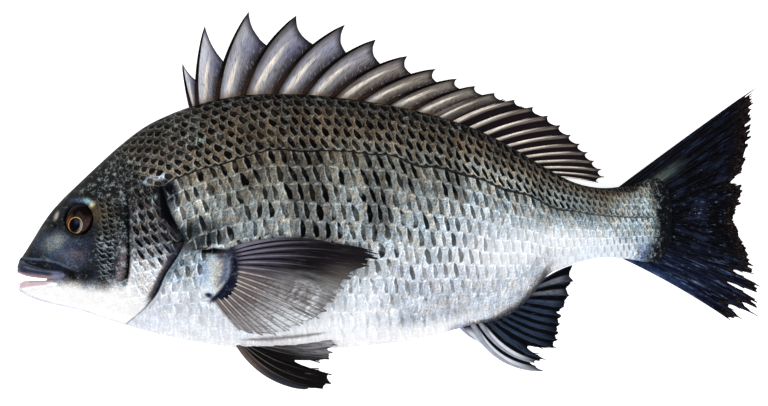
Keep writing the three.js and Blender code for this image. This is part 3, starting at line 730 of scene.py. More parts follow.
def lay_tail_stem(tone, skin):
    """The tail stem, and the end of the scales on the tail fin."""
    x, y, height = skin.x, skin.y, skin.height
    upper_rear = smooth(60, 72, x) * smooth(95, 84, x) * smooth(1, 0.8, height) * smooth(0.35, 0.6, height)
    tone.lay((98, 108, 110), 0.5 * upper_rear)
    tone.lay((154, 168, 174), 0.8 * smooth(94, 106, x) * smooth(1, 0.7, height))
    tone.lay((212, 220, 230), 0.85 * smooth(66, 86, x) * smooth(114, 104, x) * smooth(0.38, 0.12, height))
    tone.lay((56, 76, 140), 0.8 * smooth(103, 113, x) * smooth(-15, -24, y))
    tone.lay(INK, 0.97 * smooth(88, 104, x) * smooth(0.86, 0.95, height))
    past_scales = x - (116.6 - 0.012 * (y + 9) ** 2 + 0.5 * ripple(x, y, 3, 21))
    tone.lay((76, 86, 86), 0.8 * smooth(-5, -1, past_scales))
    tone.lay((9, 11, 15), smooth(-2.2, 0.8, past_scales + 0.6 * ripple(x, y, 1.6, 22)))


def skin_tone(skin, lattice):
    x, y = skin.x, skin.y
    tone = Tone(skin, flank_paint(x, y))
    lay_flank(tone, skin, lattice.v)
    lay_shoulder(tone, skin)
    head = smooth(0.6, -0.2, np.where(y > 6, x + 104 + 0.75 * (y - 6), skin.gill))
    lay_head(tone, skin, head)
    lay_throat(tone, skin)
    # Painted shade in the skin round the eye's socket.
    tone.lay((24, 26, 34), head * bell((orbit(x, y) - 1.02) / 0.1))
    tone.spots(HEAD_SPOTS)
    lay_openings(tone, skin)
    lay_fin_roots(tone, skin)
    lay_tail_stem(tone, skin)
    return tone.colour


# Dark bars across the back: X at the lateral line, half width, how far back the bar moves with
# each row down, strength, and its first and last row.
BARS = [
    (-73, 4, 0, 0.8, -9, -2), (-58, 5, 0, 0.9, -9, 1.4), (-37, 9, 1.3, 1, -9, 4.8),
    (-20, 4, 0, 0.7, -9, -0.6), (-4.7, 6, 0, 1, -9, 3.8), (9.5, 5, 0, 0.85, -9, 0.8),
    (25, 7, 1.2, 0.85, -9, 1.2), (51, 6, 0.5, 0.8, -9, -0.4), (64, 5, 0.5, 0.7, -9, -0.4),
]
BAR_EDGE = 2.5  # a bar fades out over this much beyond and within its half width
PLAIN_LENS = Curve([
    (-9, 0.95), (-4, 0.9), (-0.6, 0.78), (0.5, 0.56), (3, 0.5), (5, 0.46), (7, 0.34), (9, 0.2), (11, 0.1),
])  # darkness of a scale's rear between the bars, by row
# Clusters of pale glints on the head: middle and radii.
GLINT_CLUSTERS = [
    ((-118, 8), (13, 8)), ((-106, 10), (12, 8)), ((-117, -22), (7, 14)), ((-103, -28), (10, 14)),
    ((-102, -4), (9, 9)),
]


def bars(x, row):
    """How strongly the dark bars show at each point."""
    total = 0 * x
    for at, width, slant, strength, first, last in BARS:
        off = np.abs(x - at - slant * np.clip(row, -8, 6))
        reach = smooth(last + 1.4, last, row) * smooth(first - 1, first, row)
        total = np.maximum(total, strength * smooth(width + BAR_EDGE, width - BAR_EDGE, off) * reach)
    return total


def lens_darkness(skin, lattice):
    """How dark the rear of each scale is."""
    x, y, gill = skin.x, skin.y, skin.gill
    rear_fade = smooth(26, 50, x) * smooth(0.72, 0.5, skin.height) * smooth(105, 85, x)
    thin = mix(0.7 - 0.3 * smooth(0, -1, lattice.v), 1, smooth(105, 60, x))
    plain = PLAIN_LENS(lattice.v) * thin * (1 - 0.5 * rear_fade)
    body = np.maximum(plain, bars(x, lattice.v)) * mix(0.75, 1, smooth(-1, 24, gill))
    head = np.where(skin.cheek < 0, 0.9, 0.75 * smooth(-40, -16, y)) * (1 - throat_share(x, y))
    return np.where(skin.on_head, head, body)


def net_strength(skin):
    """How plainly the pale outlines of the scales show."""
    flank_net = mix(0.75, 0.45, smooth(0, 40, skin.gill)) * smooth(0.05, 0.3, skin.height)
    head_net = mix(1, 1.3, smooth(-110, -114, skin.x)) * mix(0.6, 1, smooth(0, -16, skin.y))
    return np.where(skin.on_head, head_net, flank_net)


def glint_strength(skin):
    """How thickly pale glints lie on the skin."""
    x, y, gill, height = skin.x, skin.y, skin.gill, skin.height
    below_nape = smooth(8, 4, y)
    head = smooth(mix(4, -4, below_nape), mix(-3, -6, below_nape), gill)
    head = head * smooth(-146, -136, x) * smooth(1, 0.9, height)
    head = head * sum(ellipse(x, y, *cluster, 0.8) for cluster in GLINT_CLUSTERS)
    tail = smooth(100, 112, x) * smooth(118.5, 115, x)
    nape = 0.5 * ellipse(x, y, (-88, 22), (14, 11), 0.6) + 0.3 * smooth(0.62, 0.8, height)
    nape = nape * smooth(0, 4, gill) * smooth(100, 80, x)
    return np.clip(0.3 + 0.9 * head + tail + nape, 0, 1)


# ---------------------------------------------------------------- meshes


def make_object(name, vertices, faces, smooth_faces=True):
    """A mesh object from points in millimetres."""
    mesh = bpy.data.meshes.new(name)
    mesh.from_pydata((np.asarray(vertices, float) * MM).tolist(), [], faces)
    mesh.update()
    if smooth_faces:
        mesh.shade_smooth()
    made = bpy.data.objects.new(name, mesh)
    bpy.context.scene.collection.objects.link(made)
    return made


FIELDS = {"FLOAT": "value", "FLOAT_VECTOR": "vector", "FLOAT_COLOR": "color"}


def add_values(thing, name, values, kind="FLOAT_VECTOR"):
    """Gives every point of a mesh a number, a vector or a colour, for its material."""
    attribute = thing.data.attributes.new(name, kind, "POINT")
    attribute.data.foreach_set(FIELDS[kind], np.ravel(values).astype(np.float32))


def with_alpha(colours):
    """sRGB colours as linear ones of four numbers."""
    return np.concatenate([linear(colours), np.ones((*colours.shape[:-1], 1))], -1)


def grid_faces(columns, rows, turned=False, closed=False):
    """Faces of a grid whose point (column, row) has the number column * rows + row."""
    c, r = np.meshgrid(np.arange(columns - 1), np.arange(rows if closed else rows - 1), indexing="ij")
    c, r = c.ravel(), r.ravel()
    next_r = (r + 1) % rows
    faces = np.stack([c * rows + r, (c + 1) * rows + r, (c + 1) * rows + next_r, c * rows + next_r], 1)
    return faces[:, ::-1] if turned else faces


def finish_piece(piece, slot, material, *replaced):
    """Gives a piece its material, and says which body and solids it belongs to. slot is not used."""
    piece.data.materials.append(material)
    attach(piece, "root")
    if replaced:
        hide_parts(*replaced)


TABLE_GAP = 0.02  # the pressed flank stays this far above the table
FIN_ROOM = 0.9  # and this much more over the pectoral fin that it lies on
PRESSED_FIN = ((-36, -35), (42, 22), 0.2)  # that fin's place: middle, radii and how softly it ends
GROOVE_DEPTH = 0.35
MOUTH_MARGIN = 0.6  # skin is cut away this far round the mouth's gap
MOUTH_ENDS = -146
# Pieces of the skin on each flank: name and the X where each ends.
SKIN_PIECES = [("head", -97), ("flank", 8), ("tail_stem", 130)]


def carved_skin(skin, lattice):
    """The skin's points with the relief of the scales and the head."""
    relief = SCALE_LIFT * lattice.scaled * scale_height(lattice.u, lattice.v, lattice.lean)
    relief = relief + head_relief(skin.x, skin.y) - GROOVE_DEPTH * line_groove(skin, lattice)
    carved = skin.points + skin.normals * (relief * smooth(0, 1.4, skin.to_ridge))[..., None]
    carved[:, [0, -1], 2] = 0
    return carved


def placed_flank(carved, sign):
    """Points and normals of one flank as it lies, pressed flat where it meets the table."""
    points = carved * (1, 1, sign)
    points[..., 2] += middle(points[..., 0])
    room = FIN_ROOM * ellipse(points[..., 0], points[..., 1], *PRESSED_FIN) if sign < 0 else 0
    points[..., 2] = np.maximum(points[..., 2], TABLE_GAP + room)
    normals = grid_normals(points) * sign
    normals[:, [0, -1], 2] = 0
    return points, unit(normals)


def painted_values(skin, lattice):
    """What the skin's material reads at every point: name, values and kind."""
    x, tone = skin.x, skin_tone(skin, lattice)
    bright = tone.mean(-1)
    line = smooth(-96, -92, x) * mix(0.75, 1, smooth(90, 60, x)) * smooth(118, 112, x)
    hue = smooth(240, 150, bright) * smooth(4, 13, bright) * smooth(125, 121, x)
    hue = hue * (1 - upper_pelvic_ray(x, skin.y))
    strength = (lens_darkness(skin, lattice), lattice.scaled, net_strength(skin))
    return [
        ("lattice", np.stack([lattice.u, lattice.v, lattice.lean], -1), "FLOAT_VECTOR"),
        ("strength", np.stack(strength, -1), "FLOAT_VECTOR"),
        ("marks", np.stack([line, glint_strength(skin), hue], -1), "FLOAT_VECTOR"),
        ("tone", with_alpha(tone), "FLOAT_COLOR"),
    ]


def skin_pieces(skin, lattice, material):
    """The skin of both flanks, each in several pieces that share their edges."""
    carved = carved_skin(skin, lattice)
    painted = painted_values(skin, lattice)
    ends = np.searchsorted(skin.lines, [end for _, end in SKIN_PIECES])
    for flank_name, sign in (("left", 1), ("right", -1)):
        points, normals = placed_flank(carved, sign)
        first = 0
        for (name, _), end in zip(SKIN_PIECES, ends):
            last = min(end + 1, len(points))
            part = slice(first, last)
            piece = skin_piece(f"{name}_{flank_name}", points[part], normals[part], sign)
            for value_name, values, kind in painted:
                add_values(piece, value_name, values[part], kind)
            finish_piece(piece, "skin", material, "fish")
            first = last - 1


def skin_piece(name, points, normals, sign):
    """A stretch of skin without the mouth's gap, with a map of its own for baking."""
    columns, rows = points.shape[:2]
    faces = grid_faces(columns, rows, turned=sign < 0)
    flat = points.reshape(-1, 3)
    middles = flat[faces].mean(1)
    x, y = middles[:, 0], middles[:, 1]
    in_gap = (y < mouth_upper(x) + MOUTH_MARGIN) & (y > mouth_lower(x) - MOUTH_MARGIN)
    faces = faces[~(in_gap & (x < MOUTH_ENDS))]
    piece = make_object(name, flat, faces.tolist())
    piece.data.normals_split_custom_set_from_vertices(normals.reshape(-1, 3))
    across, up = np.meshgrid(np.linspace(0, 1, columns), np.linspace(0, 1, rows), indexing="ij")
    place = np.stack([across.ravel(), up.ravel()], 1)
    bake_map = piece.data.uv_layers.new(name="OFBake")
    bake_map.data.foreach_set("uv", place[faces.ravel()].ravel().astype(np.float32))
    return piece


# ---------------------------------------------------------------- lips, mouth and eyes

LIP_STEPS, LIP_SIDES = 90, 22  # points along a lip and round it
LIP_SUNK = 0.4  # how deep a lip's axis lies in the flesh
LIP_SWING = 1.565  # half the angle through which a lip curls round the jaw
LIP_CAP = 0.16  # share of a lip's length that its rounded end takes
LIP_WRINKLE, LIP_WRINKLES = 0.03, 60  # how deep its wrinkles are, and how close


def lip_piece(name, lip, material):
    """A roll of flesh round the jaw, from one corner of the mouth to the other."""
    s = np.sin(np.linspace(-LIP_SWING, LIP_SWING, LIP_STEPS))[:, None]
    turn = np.linspace(0, 2 * np.pi, LIP_SIDES, endpoint=False)[None, :]
    reach = np.abs(s)
    y = mix(lip["y_front"], lip["y_corner"], reach**1.5)
    x = mix(lip["front"], lip["corner"], 1 - np.sqrt(1 - reach**2))
    z = middle(x) + np.maximum(0, flank(x, y) - LIP_SUNK) * np.sign(s)
    to_end = np.sqrt(1 - reach**2)
    cap = np.sqrt(1 - (1 - np.clip(to_end / LIP_CAP, 0, 1)) ** 2)
    size = mix(1, lip["end_share"], reach**2) * np.maximum(cap, 0.05)
    out_x, out_z = reach - 1, s
    length = np.hypot(out_x, out_z)
    wrinkle = 1 + LIP_WRINKLE * np.sin(s * LIP_WRINKLES + 2 * np.sin(turn))
    across = lip["thick"] * size * np.cos(turn) * wrinkle
    points = np.stack([
        x + out_x / length * across,
        y + lip["tall"] * size * np.sin(turn) + 0 * across,
        z + out_z / length * across,
    ], -1)
    faces = grid_faces(LIP_STEPS, LIP_SIDES, closed=True).tolist()
    faces.append(list(range(LIP_SIDES)))
    faces.append(list(range(LIP_STEPS * LIP_SIDES - 1, (LIP_STEPS - 1) * LIP_SIDES - 1, -1)))
    piece = make_object(name, points.reshape(-1, 3), faces)
    add_values(piece, "turn", np.sin(turn) + 0 * s, "FLOAT")
    add_values(piece, "reach", reach + 0 * turn, "FLOAT")
    finish_piece(piece, "skin", material)


LINING_ENDS = (-157.6, -146.4)  # X
LINING_STEPS = (24, 17)  # along the mouth and across it


def mouth_lining(material):
    """Roof and floor of the mouth, between the flanks, as one folded sheet."""
    xs = np.linspace(*LINING_ENDS, LINING_STEPS[0])
    edge_x = np.concatenate([xs, xs[::-1]])
    edge_y = np.concatenate([mouth_upper(xs) + MOUTH_MARGIN, (mouth_lower(xs) - MOUTH_MARGIN)[::-1]])
    across = np.linspace(-1, 1, LINING_STEPS[1])
    half = np.maximum(flank(edge_x, edge_y) - 0.2, 0.5)
    height = middle(edge_x)[:, None] + half[:, None] * across
    x = edge_x[:, None] + 0 * across
    y = edge_y[:, None] + 0 * across
    points = np.stack([x, y, height], -1)
    faces = grid_faces(len(edge_x), len(across)).tolist()
    piece = make_object("mouth_lining", points.reshape(-1, 3), faces)
    finish_piece(piece, "skin", material)


EYE_STEPS = (72, 48)  # round and down the eyeball
PUPIL_AT = (-0.9, -3.0)  # from the eye's middle
# SHINE_AT is where a painted highlight lies deep in the pupil.
SHINE_AT = (-0.1, -2.0)  # the pale spot deep in the pupil


def eye_facing():
    """The direction in which the eyeball looks: straight out of the flank round it."""
    step = 3
    slope_x = (flank(EYE_X + step, EYE_Y) - flank(EYE_X - step, EYE_Y)) / (2 * step)
    slope_y = (flank(EYE_X, EYE_Y + step) - flank(EYE_X, EYE_Y - step)) / (2 * step)
    return unit(np.array([-slope_x, -slope_y, 1.0]))


def eye_pieces(material):
    """Both eyeballs, flattened balls in their sockets."""
    facing = eye_facing()
    centre = np.array([EYE_X, EYE_Y, float(flank(EYE_X, EYE_Y))]) + facing * (EYE_PROUD - EYE_DEPTH)
    turn = shortest_turn(facing)
    around = np.linspace(0, 2 * np.pi, EYE_STEPS[0], endpoint=False)[None, :]
    down = np.linspace(0.001, np.pi - 0.001, EYE_STEPS[1])[:, None]
    local = np.stack([
        EYE_RX * np.sin(down) * np.cos(around),
        EYE_RY * np.sin(down) * np.sin(around),
        EYE_DEPTH * np.cos(down) + 0 * around,
    ], -1).reshape(-1, 3)
    placed = local @ turn.T + centre
    for name, sign in (("left", 1), ("right", -1)):
        points = placed * (1, 1, sign) + (0, 0, float(middle(EYE_X)))
        faces = grid_faces(EYE_STEPS[1], EYE_STEPS[0], turned=sign < 0, closed=True).tolist()
        piece = make_object(f"eyeball_{name}", points, faces)
        add_values(piece, "disc", local)
        finish_piece(piece, "eye", material, f"eye_{name}")


def shortest_turn(facing):
    """The rotation matrix that turns +Z to the direction facing."""
    axis = np.cross((0, 0, 1), facing)
    cross = np.array([[0, -axis[2], axis[1]], [axis[2], 0, -axis[0]], [-axis[1], axis[0], 0]])
    return np.eye(3) + cross + cross @ cross / (1 + facing[2])


# ---------------------------------------------------------------- fins

ROOT_DEPTH = 3  # how far rays and webs run on into the flesh
RAY_TIP = 0.5  # thickness of a ray at its tip
WEB_THICKNESS = 0.4

# Each fin: its count of rays and, by ray number, the rays' roots, lengths, angles to +X in
# degrees, bows and thickness, and "notch", the share of a ray's length up to which the web from
# the ray before it is tied to it. "slits" gives how far out a torn web still reaches, by the
# number of the ray before it, "sag" how far a web's edge hangs in, "ragged" how uneven that edge
# is and "billow" how far a web swells out of the fin's plane.
DORSAL = {
    "count": 22,
    "root_x": [
        (0, -84.8), (1, -82), (2, -73.5), (3, -62.4), (4, -48.6), (5, -36), (7, -12), (10, 20.5),
        (12, 35.5), (15, 51.5), (18, 63.5), (21, 75),
    ],
    "root_y": back,
    "length": [
        (0, 19), (1, 34.2), (2, 40.2), (3, 41.4), (4, 42.3), (5, 38.8), (6, 36.6), (7, 35.4),
        (9, 28.8), (10, 27.2), (12, 28.3), (15, 27.5), (18, 25.2), (20, 22), (21, 15.6),
    ],
    "angle": [
        (0, 101), (1, 84.5), (2, 70.2), (3, 56.2), (4, 44.6), (5, 37.5), (6, 28.6), (7, 22.5),
        (10, 21), (12, 17.5), (15, 9), (18, 0.5), (21, -8.5),
    ],
    "bow": [(0, 0.02), (2, 0.06), (4, 0.08), (8, 0.05), (12, 0.04), (21, 0.02)],
    "notch": [(1, 0.3), (2, 0.4), (3, 0.57), (5, 0.65), (8, 0.74), (11, 0.88), (21, 0.95)],
    "thick": [(0, 1.6), (2, 2.2), (8, 2), (11, 1.3), (21, 1.1)],
    "slits": {},
    "sag": 0.07,
    "ragged": 0.002,
    "branches_from": 11,
    "billow": 0.7,
}
ANAL = {
    "count": 13,
    "root_x": [(0, 31.5), (1, 36.4), (2, 39.6), (12, 66.5)],
    "root_y": lambda x: belly(x) + 0.3,
    "length": [
        (0, 9), (1, 36.6), (2, 30), (3, 30), (4, 28), (5, 25.8), (7, 20.6), (9, 17.2), (11, 16.2),
        (12, 14.5),
    ],
    "angle": [
        (0, -40), (1, -33.7), (2, -35.5), (3, -33), (4, -25), (5, -22), (7, -14), (9, -7),
        (11, 12), (12, 27),
    ],
    "bow": [(0, -0.05), (1, -0.155), (2, -0.12), (3, -0.08), (6, -0.05), (12, 0.04)],
    "notch": [(1, 0.8), (2, 0.9), (3, 0.95), (12, 0.98)],
    "thick": [(0, 1.6), (1, 2.4), (2, 1.9), (3, 1.2), (12, 1)],
    "slits": {3: 0.68, 8: 0.9, 10: 0.88, 11: 0.9},
    "sag": 0.02,
    "ragged": 0.022,
    "branches_from": 3,
    "billow": 0.4,
}
CAUDAL = {
    "count": 25,
    "root_x": [
        (0, 101.5), (2, 107.5), (4, 112.5), (8, 117.5), (12, 119), (16, 117.5), (20, 112.5), (22, 108),
        (24, 103),
    ],
    "root_y": [
        (0, 6), (2, 6.6), (4, 5), (8, -1.5), (12, -9), (16, -16.5), (20, -22.5), (22, -24.6), (24, -25.4),
    ],
    "length": [
        (0, 69.2), (2, 61), (4, 53.2), (6, 45.2), (8, 37.4), (10, 33.6), (12, 30), (14, 35.2),
        (16, 40.6), (18, 46), (19, 48.6), (20, 50), (21, 53.4), (22, 57.2), (23, 54), (24, 51.5),
    ],
    "angle": [
        (0, 36.7), (2, 36), (4, 34.5), (8, 21), (12, 0), (14, -10.6), (16, -16), (18, -20.8),
        (20, -23.9), (22, -26.3), (23, -29.2), (24, -30.6),
    ],
    "bow": [(0, 0.003), (3, 0.005), (8, 0), (12, 0), (18, 0.01), (22, 0.02), (24, 0.02)],
    "notch": [(1, 0.99), (24, 0.99)],
    "thick": [(0, 2.2), (4, 1.6), (12, 1.4), (20, 1.6), (24, 2)],
    "slits": {8: 0.88, 17: 0.78, 19: 0.72, 21: 0.86, 22: 0.78},
    "sag": 0.004,
    "ragged": 0.02,
    "branches_from": 1,
    "billow": 0.3,
}
PECTORAL = {
    "count": 16,
    "root_x": [(0, -67), (4, -65.6), (8, -66.6), (11, -69.3), (13, -71.6), (15, -74.6)],
    "root_y": [(0, -21), (3, -25.3), (8, -33.5), (11, -37.6), (13, -40.3), (15, -43)],
    "length": [
        (0, 46), (1, 60), (2, 61.6), (3, 58), (4, 51), (5, 46.5), (6, 44.5), (8, 41), (9, 39),
        (11, 32.8), (13, 25.2), (15, 17),
    ],
    "angle": [
        (0, 2), (2, -1), (4, -6), (6, -15.5), (8, -25), (9, -23.5), (10, -28), (11, -34.3), (13, -45),
        (15, -49.6),
    ],
    "bow": [(0, 0.08), (3, 0.05), (8, 0.01), (15, -0.02)],
    "notch": [(1, 0.96), (15, 0.96)],
    "thick": [(0, 1.7), (4, 1.4), (15, 1.2)],
    "slits": {8: 0.72},
    "sag": 0.01,
    "ragged": 0.02,
    "branches_from": 1,
    "billow": 0.15,
}
PELVIC = {
    "count": 8,
    "root_x": [(0, -65), (7, -59.5)],
    "root_y": [(0, -61), (7, -60.2)],
    "length": [(0, 35.5), (1, 41.5), (2, 43), (3, 41), (4, 37.5), (6, 38.6), (7, 37.5)],
    "angle": [(0, -35), (1, -29), (2, -25), (3, -20.5), (4, -12), (5, -8), (6, -3), (7, 4.5)],
    "bow": [(0, -0.12), (2, -0.09), (4, -0.04), (7, -0.02)],
    "notch": [(1, 0.95), (7, 0.98)],
    "thick": [(0, 2.4), (1, 1.7), (7, 1.2)],
    "slits": {3: 0.6, 5: 0.93, 6: 0.95},
    "sag": 0.02,
    "ragged": 0.008,
    "branches_from": 1,
    "billow": 0.4,
}


class Ray:
    """One spine or soft ray: a quadratic curve from its root, in the fin's own plane."""

    def __init__(self, root, way, length, bow, thick, notch):
        side_way = np.array([-way[1], way[0]])
        self.root = root
        self.tip = root + way * length
        self.knee = (root + self.tip) / 2 + side_way * 2 * bow * length
        start = self.knee - root
        self.start = start / np.linalg.norm(start)
        self.thick = thick
        self.notch = notch

    def at(self, v):
        """The points at shares v of the ray's length. Below 0 they are inside the flesh."""
        v = np.asarray(v, float)[..., None]
        t = np.maximum(v, 0)
        outside = (1 - t) ** 2 * self.root + 2 * t * (1 - t) * self.knee + t**2 * self.tip
        return outside + np.minimum(v, 0) * ROOT_DEPTH * self.start


def rays_of(fin):
    """The rays of a fin, from its numbers."""
    numbers = np.arange(fin["count"])
    x = Curve(fin["root_x"])(numbers)
    root_y = fin["root_y"]
    y = Curve(root_y)(numbers) if isinstance(root_y, list) else root_y(x)
    length, angle, bow, thick, notch = (
        Curve(fin[key])(numbers) for key in ("length", "angle", "bow", "thick", "notch")
    )
    turn = np.radians(angle)
    return [
        Ray(np.array([x[k], y[k]]), np.array([np.cos(turn[k]), np.sin(turn[k])]),
            length[k], bow[k], thick[k], notch[k])
        for k in numbers
    ]


WEB_COLUMNS, WEB_ROWS = 14, 26
TATTER = 3  # columns to each tatter of a web's edge
RAY_ROWS, RAY_SIDES = 30, 8
BRANCHES = [(0.17, 0.4), (0.34, 0.55)]  # share of the way to the next ray, and where it starts
BRANCH_END = 0.88  # share of the ray's length
BRANCH_POINTS, BRANCH_RADII = 14, (0.26, 0.16)
SOFT_RAY_SLIM = 0.75  # a branched ray's thickness to that of a spine
SPINE_TIP = 0.04  # radius of a spine's very tip
EVEN_BILLOW = 0.4  # every other web billows only this much


class FinMesh:
    """Collects the webs and rays of one fin in one mesh."""

    def __init__(self, height):
        self.height = height
        self.vertices = []
        self.faces = []
        self.numbers = []  # ray number and share, share of the length, 1 on rays and 0 on webs

    def add(self, points, faces, numbers):
        first = sum(len(v) for v in self.vertices)
        self.vertices.append(points.reshape(-1, 3))
        self.faces.append(np.asarray(faces) + first)
        self.numbers.append(numbers.reshape(-1, 3))

    def web(self, k, fin, ray, following, draw):
        """The web from one ray to the next, as a thin closed plate."""
        w = np.linspace(0, 1, WEB_COLUMNS)[:, None]
        v = np.concatenate([[-1], np.linspace(0, 1, WEB_ROWS - 1)])[None, :]
        slack = 4 * w * (1 - w)
        torn = fin["slits"].get(k)
        reach = mix(1, torn, slack**1.5) if torn else 1 - fin["sag"] * slack
        tatters = np.repeat(draw.normal(0, fin["ragged"], WEB_COLUMNS), TATTER)[:WEB_COLUMNS]
        frayed = tatters[:, None] * smooth(0, 0.2, slack)
        reach = reach + frayed * np.clip(v, 0, 1)
        out = np.where(v < 0, v, v * reach)
        to_next = np.where(v < 0, v, v * reach * following.notch)
        flat = mix(ray.at(out), following.at(to_next), w[..., None])
        x, y = flat[..., 0], flat[..., 1]
        bulge = fin["billow"] * np.sin(np.pi * w) * smooth(0, 0.35, v) * (1 if k % 2 else EVEN_BILLOW)
        z = self.height(x, y, v + 0 * w) + bulge
        half = WEB_THICKNESS / 2 * mix(1, 0.5, np.clip(v, 0, 1)) + 0 * w
        numbers = np.stack([k + w + 0 * v, v + 0 * w, 0 * (v + w)], -1)
        top = np.stack([x, y, z + half], -1)
        bottom = np.stack([x, y, z - half], -1)
        self.add(
            np.stack([top, bottom]),
            plate_faces(WEB_COLUMNS, WEB_ROWS),
            np.stack([numbers, numbers]),
        )

    def rod(self, number, path, radius, along):
        """A round rod along path, with a radius at each of its points."""
        x, y = path[:, 0], path[:, 1]
        z = self.height(x, y, along)
        way = unit(np.gradient(path, axis=0))
        turn = np.linspace(0, 2 * np.pi, RAY_SIDES, endpoint=False)[None, :]
        across = radius[:, None] * np.cos(turn)
        points = np.stack([
            x[:, None] - way[:, 1:] * across,
            y[:, None] + way[:, :1] * across,
            z[:, None] + radius[:, None] * np.sin(turn),
        ], -1)
        faces = grid_faces(len(path), RAY_SIDES, closed=True)
        numbers = np.stack([number + 0 * across, along[:, None] + 0 * across, 1 + 0 * across], -1)
        self.add(points, faces, numbers)

    def object(self, name):
        """The fin's mesh object, kept above the table."""
        faces = [face.tolist() for group in self.faces for face in group]
        vertices = np.concatenate(self.vertices)
        vertices[:, 2] = np.maximum(vertices[:, 2], TABLE_GAP)
        piece = make_object(name, vertices, faces)
        add_values(piece, "fin", np.concatenate(self.numbers))
        return piece


def plate_faces(columns, rows):
    """Faces of a closed plate: a grid of points for its top, then the same for its bottom."""
    top = grid_faces(columns, rows, turned=True)
    bottom = grid_faces(columns, rows) + columns * rows
    first, last = np.arange(rows), (columns - 1) * rows + np.arange(rows)
    start, end = np.arange(columns) * rows, np.arange(columns) * rows + rows - 1
    rim = np.concatenate([first, end[1:], last[::-1][1:], start[::-1][1:]])
    wall = np.stack([rim[:-1], rim[1:], rim[1:] + columns * rows, rim[:-1] + columns * rows], 1)
    return np.concatenate([top, bottom, wall])


def build_fin(name, fin, height, seed, material):
    """A fin of rays, with webs between them and branches from the soft ones."""
    draw = np.random.default_rng(seed)
    made = FinMesh(height)
    rays = rays_of(fin)
    v = np.concatenate([[-1], np.linspace(0, 1, RAY_ROWS - 1)])
    along = np.clip(v, 0, 1)
    for k, ray in enumerate(rays):
        branched = k >= fin["branches_from"]
        radius = mix(ray.thick, RAY_TIP, along) / 2
        pointed = radius * smooth(1.02, 0.88, along) + SPINE_TIP
        made.rod(k, ray.at(v), SOFT_RAY_SLIM * radius if branched else pointed, v)
        if k + 1 < len(rays):
            made.web(k, fin, ray, rays[k + 1], draw)
        if not branched:
            continue
        for neighbour in (k - 1, k + 1):
            if not 0 <= neighbour < len(rays):
                continue
            for share, start in BRANCHES:
                made.rod(k, *branch(ray, rays[neighbour], share, start, neighbour > k))
    piece = made.object(name)
    finish_piece(piece, "skin", material)


def branch(ray, neighbour, share, start, onward):
    """Path, radii and shares of the length of a fine branch that spreads from a soft ray."""
    v = np.linspace(start, BRANCH_END, BRANCH_POINTS)
    spread = share * smooth(start, 1, v)[:, None]
    other = neighbour.at(v * (neighbour.notch if onward else 1 / ray.notch))
    path = mix(ray.at(v), other, spread)
    radius = mix(*BRANCH_RADII, (v - start) / (1 - start))
    return path, radius, v


PECTORAL_LIFT = {"inside": -2, "root": 0.2, "tip": 2.6}  # of the fin off the flank
PRESSED_HEIGHT = 0.27  # of the fin between the flank and the table
PELVIC_SPREAD = (3.2, 7.5)  # from the middle plane, at the root and the tip

# Height above the table of a fin's sheet, at (x, y) and the share v of a ray's length.


def on_middle(x, y, v):
    return middle(x)


def along_flank(sign):
    """For a pectoral fin, on the left flank (1) or the right one (-1)."""

    def height(x, y, v):
        outside = mix(PECTORAL_LIFT["root"], PECTORAL_LIFT["tip"], np.clip(v, 0, 1))
        lift = np.where(v < 0, PECTORAL_LIFT["inside"], outside)
        return np.maximum(PRESSED_HEIGHT, middle(x) + sign * (flank(x, y) + lift))

    return height


def beside(sign):
    """For a pelvic fin, which spreads from the middle plane to one side."""

    def height(x, y, v):
        return middle(x) + sign * mix(*PELVIC_SPREAD, np.clip(v, 0, 1))

    return height


# ---------------------------------------------------------------- materials


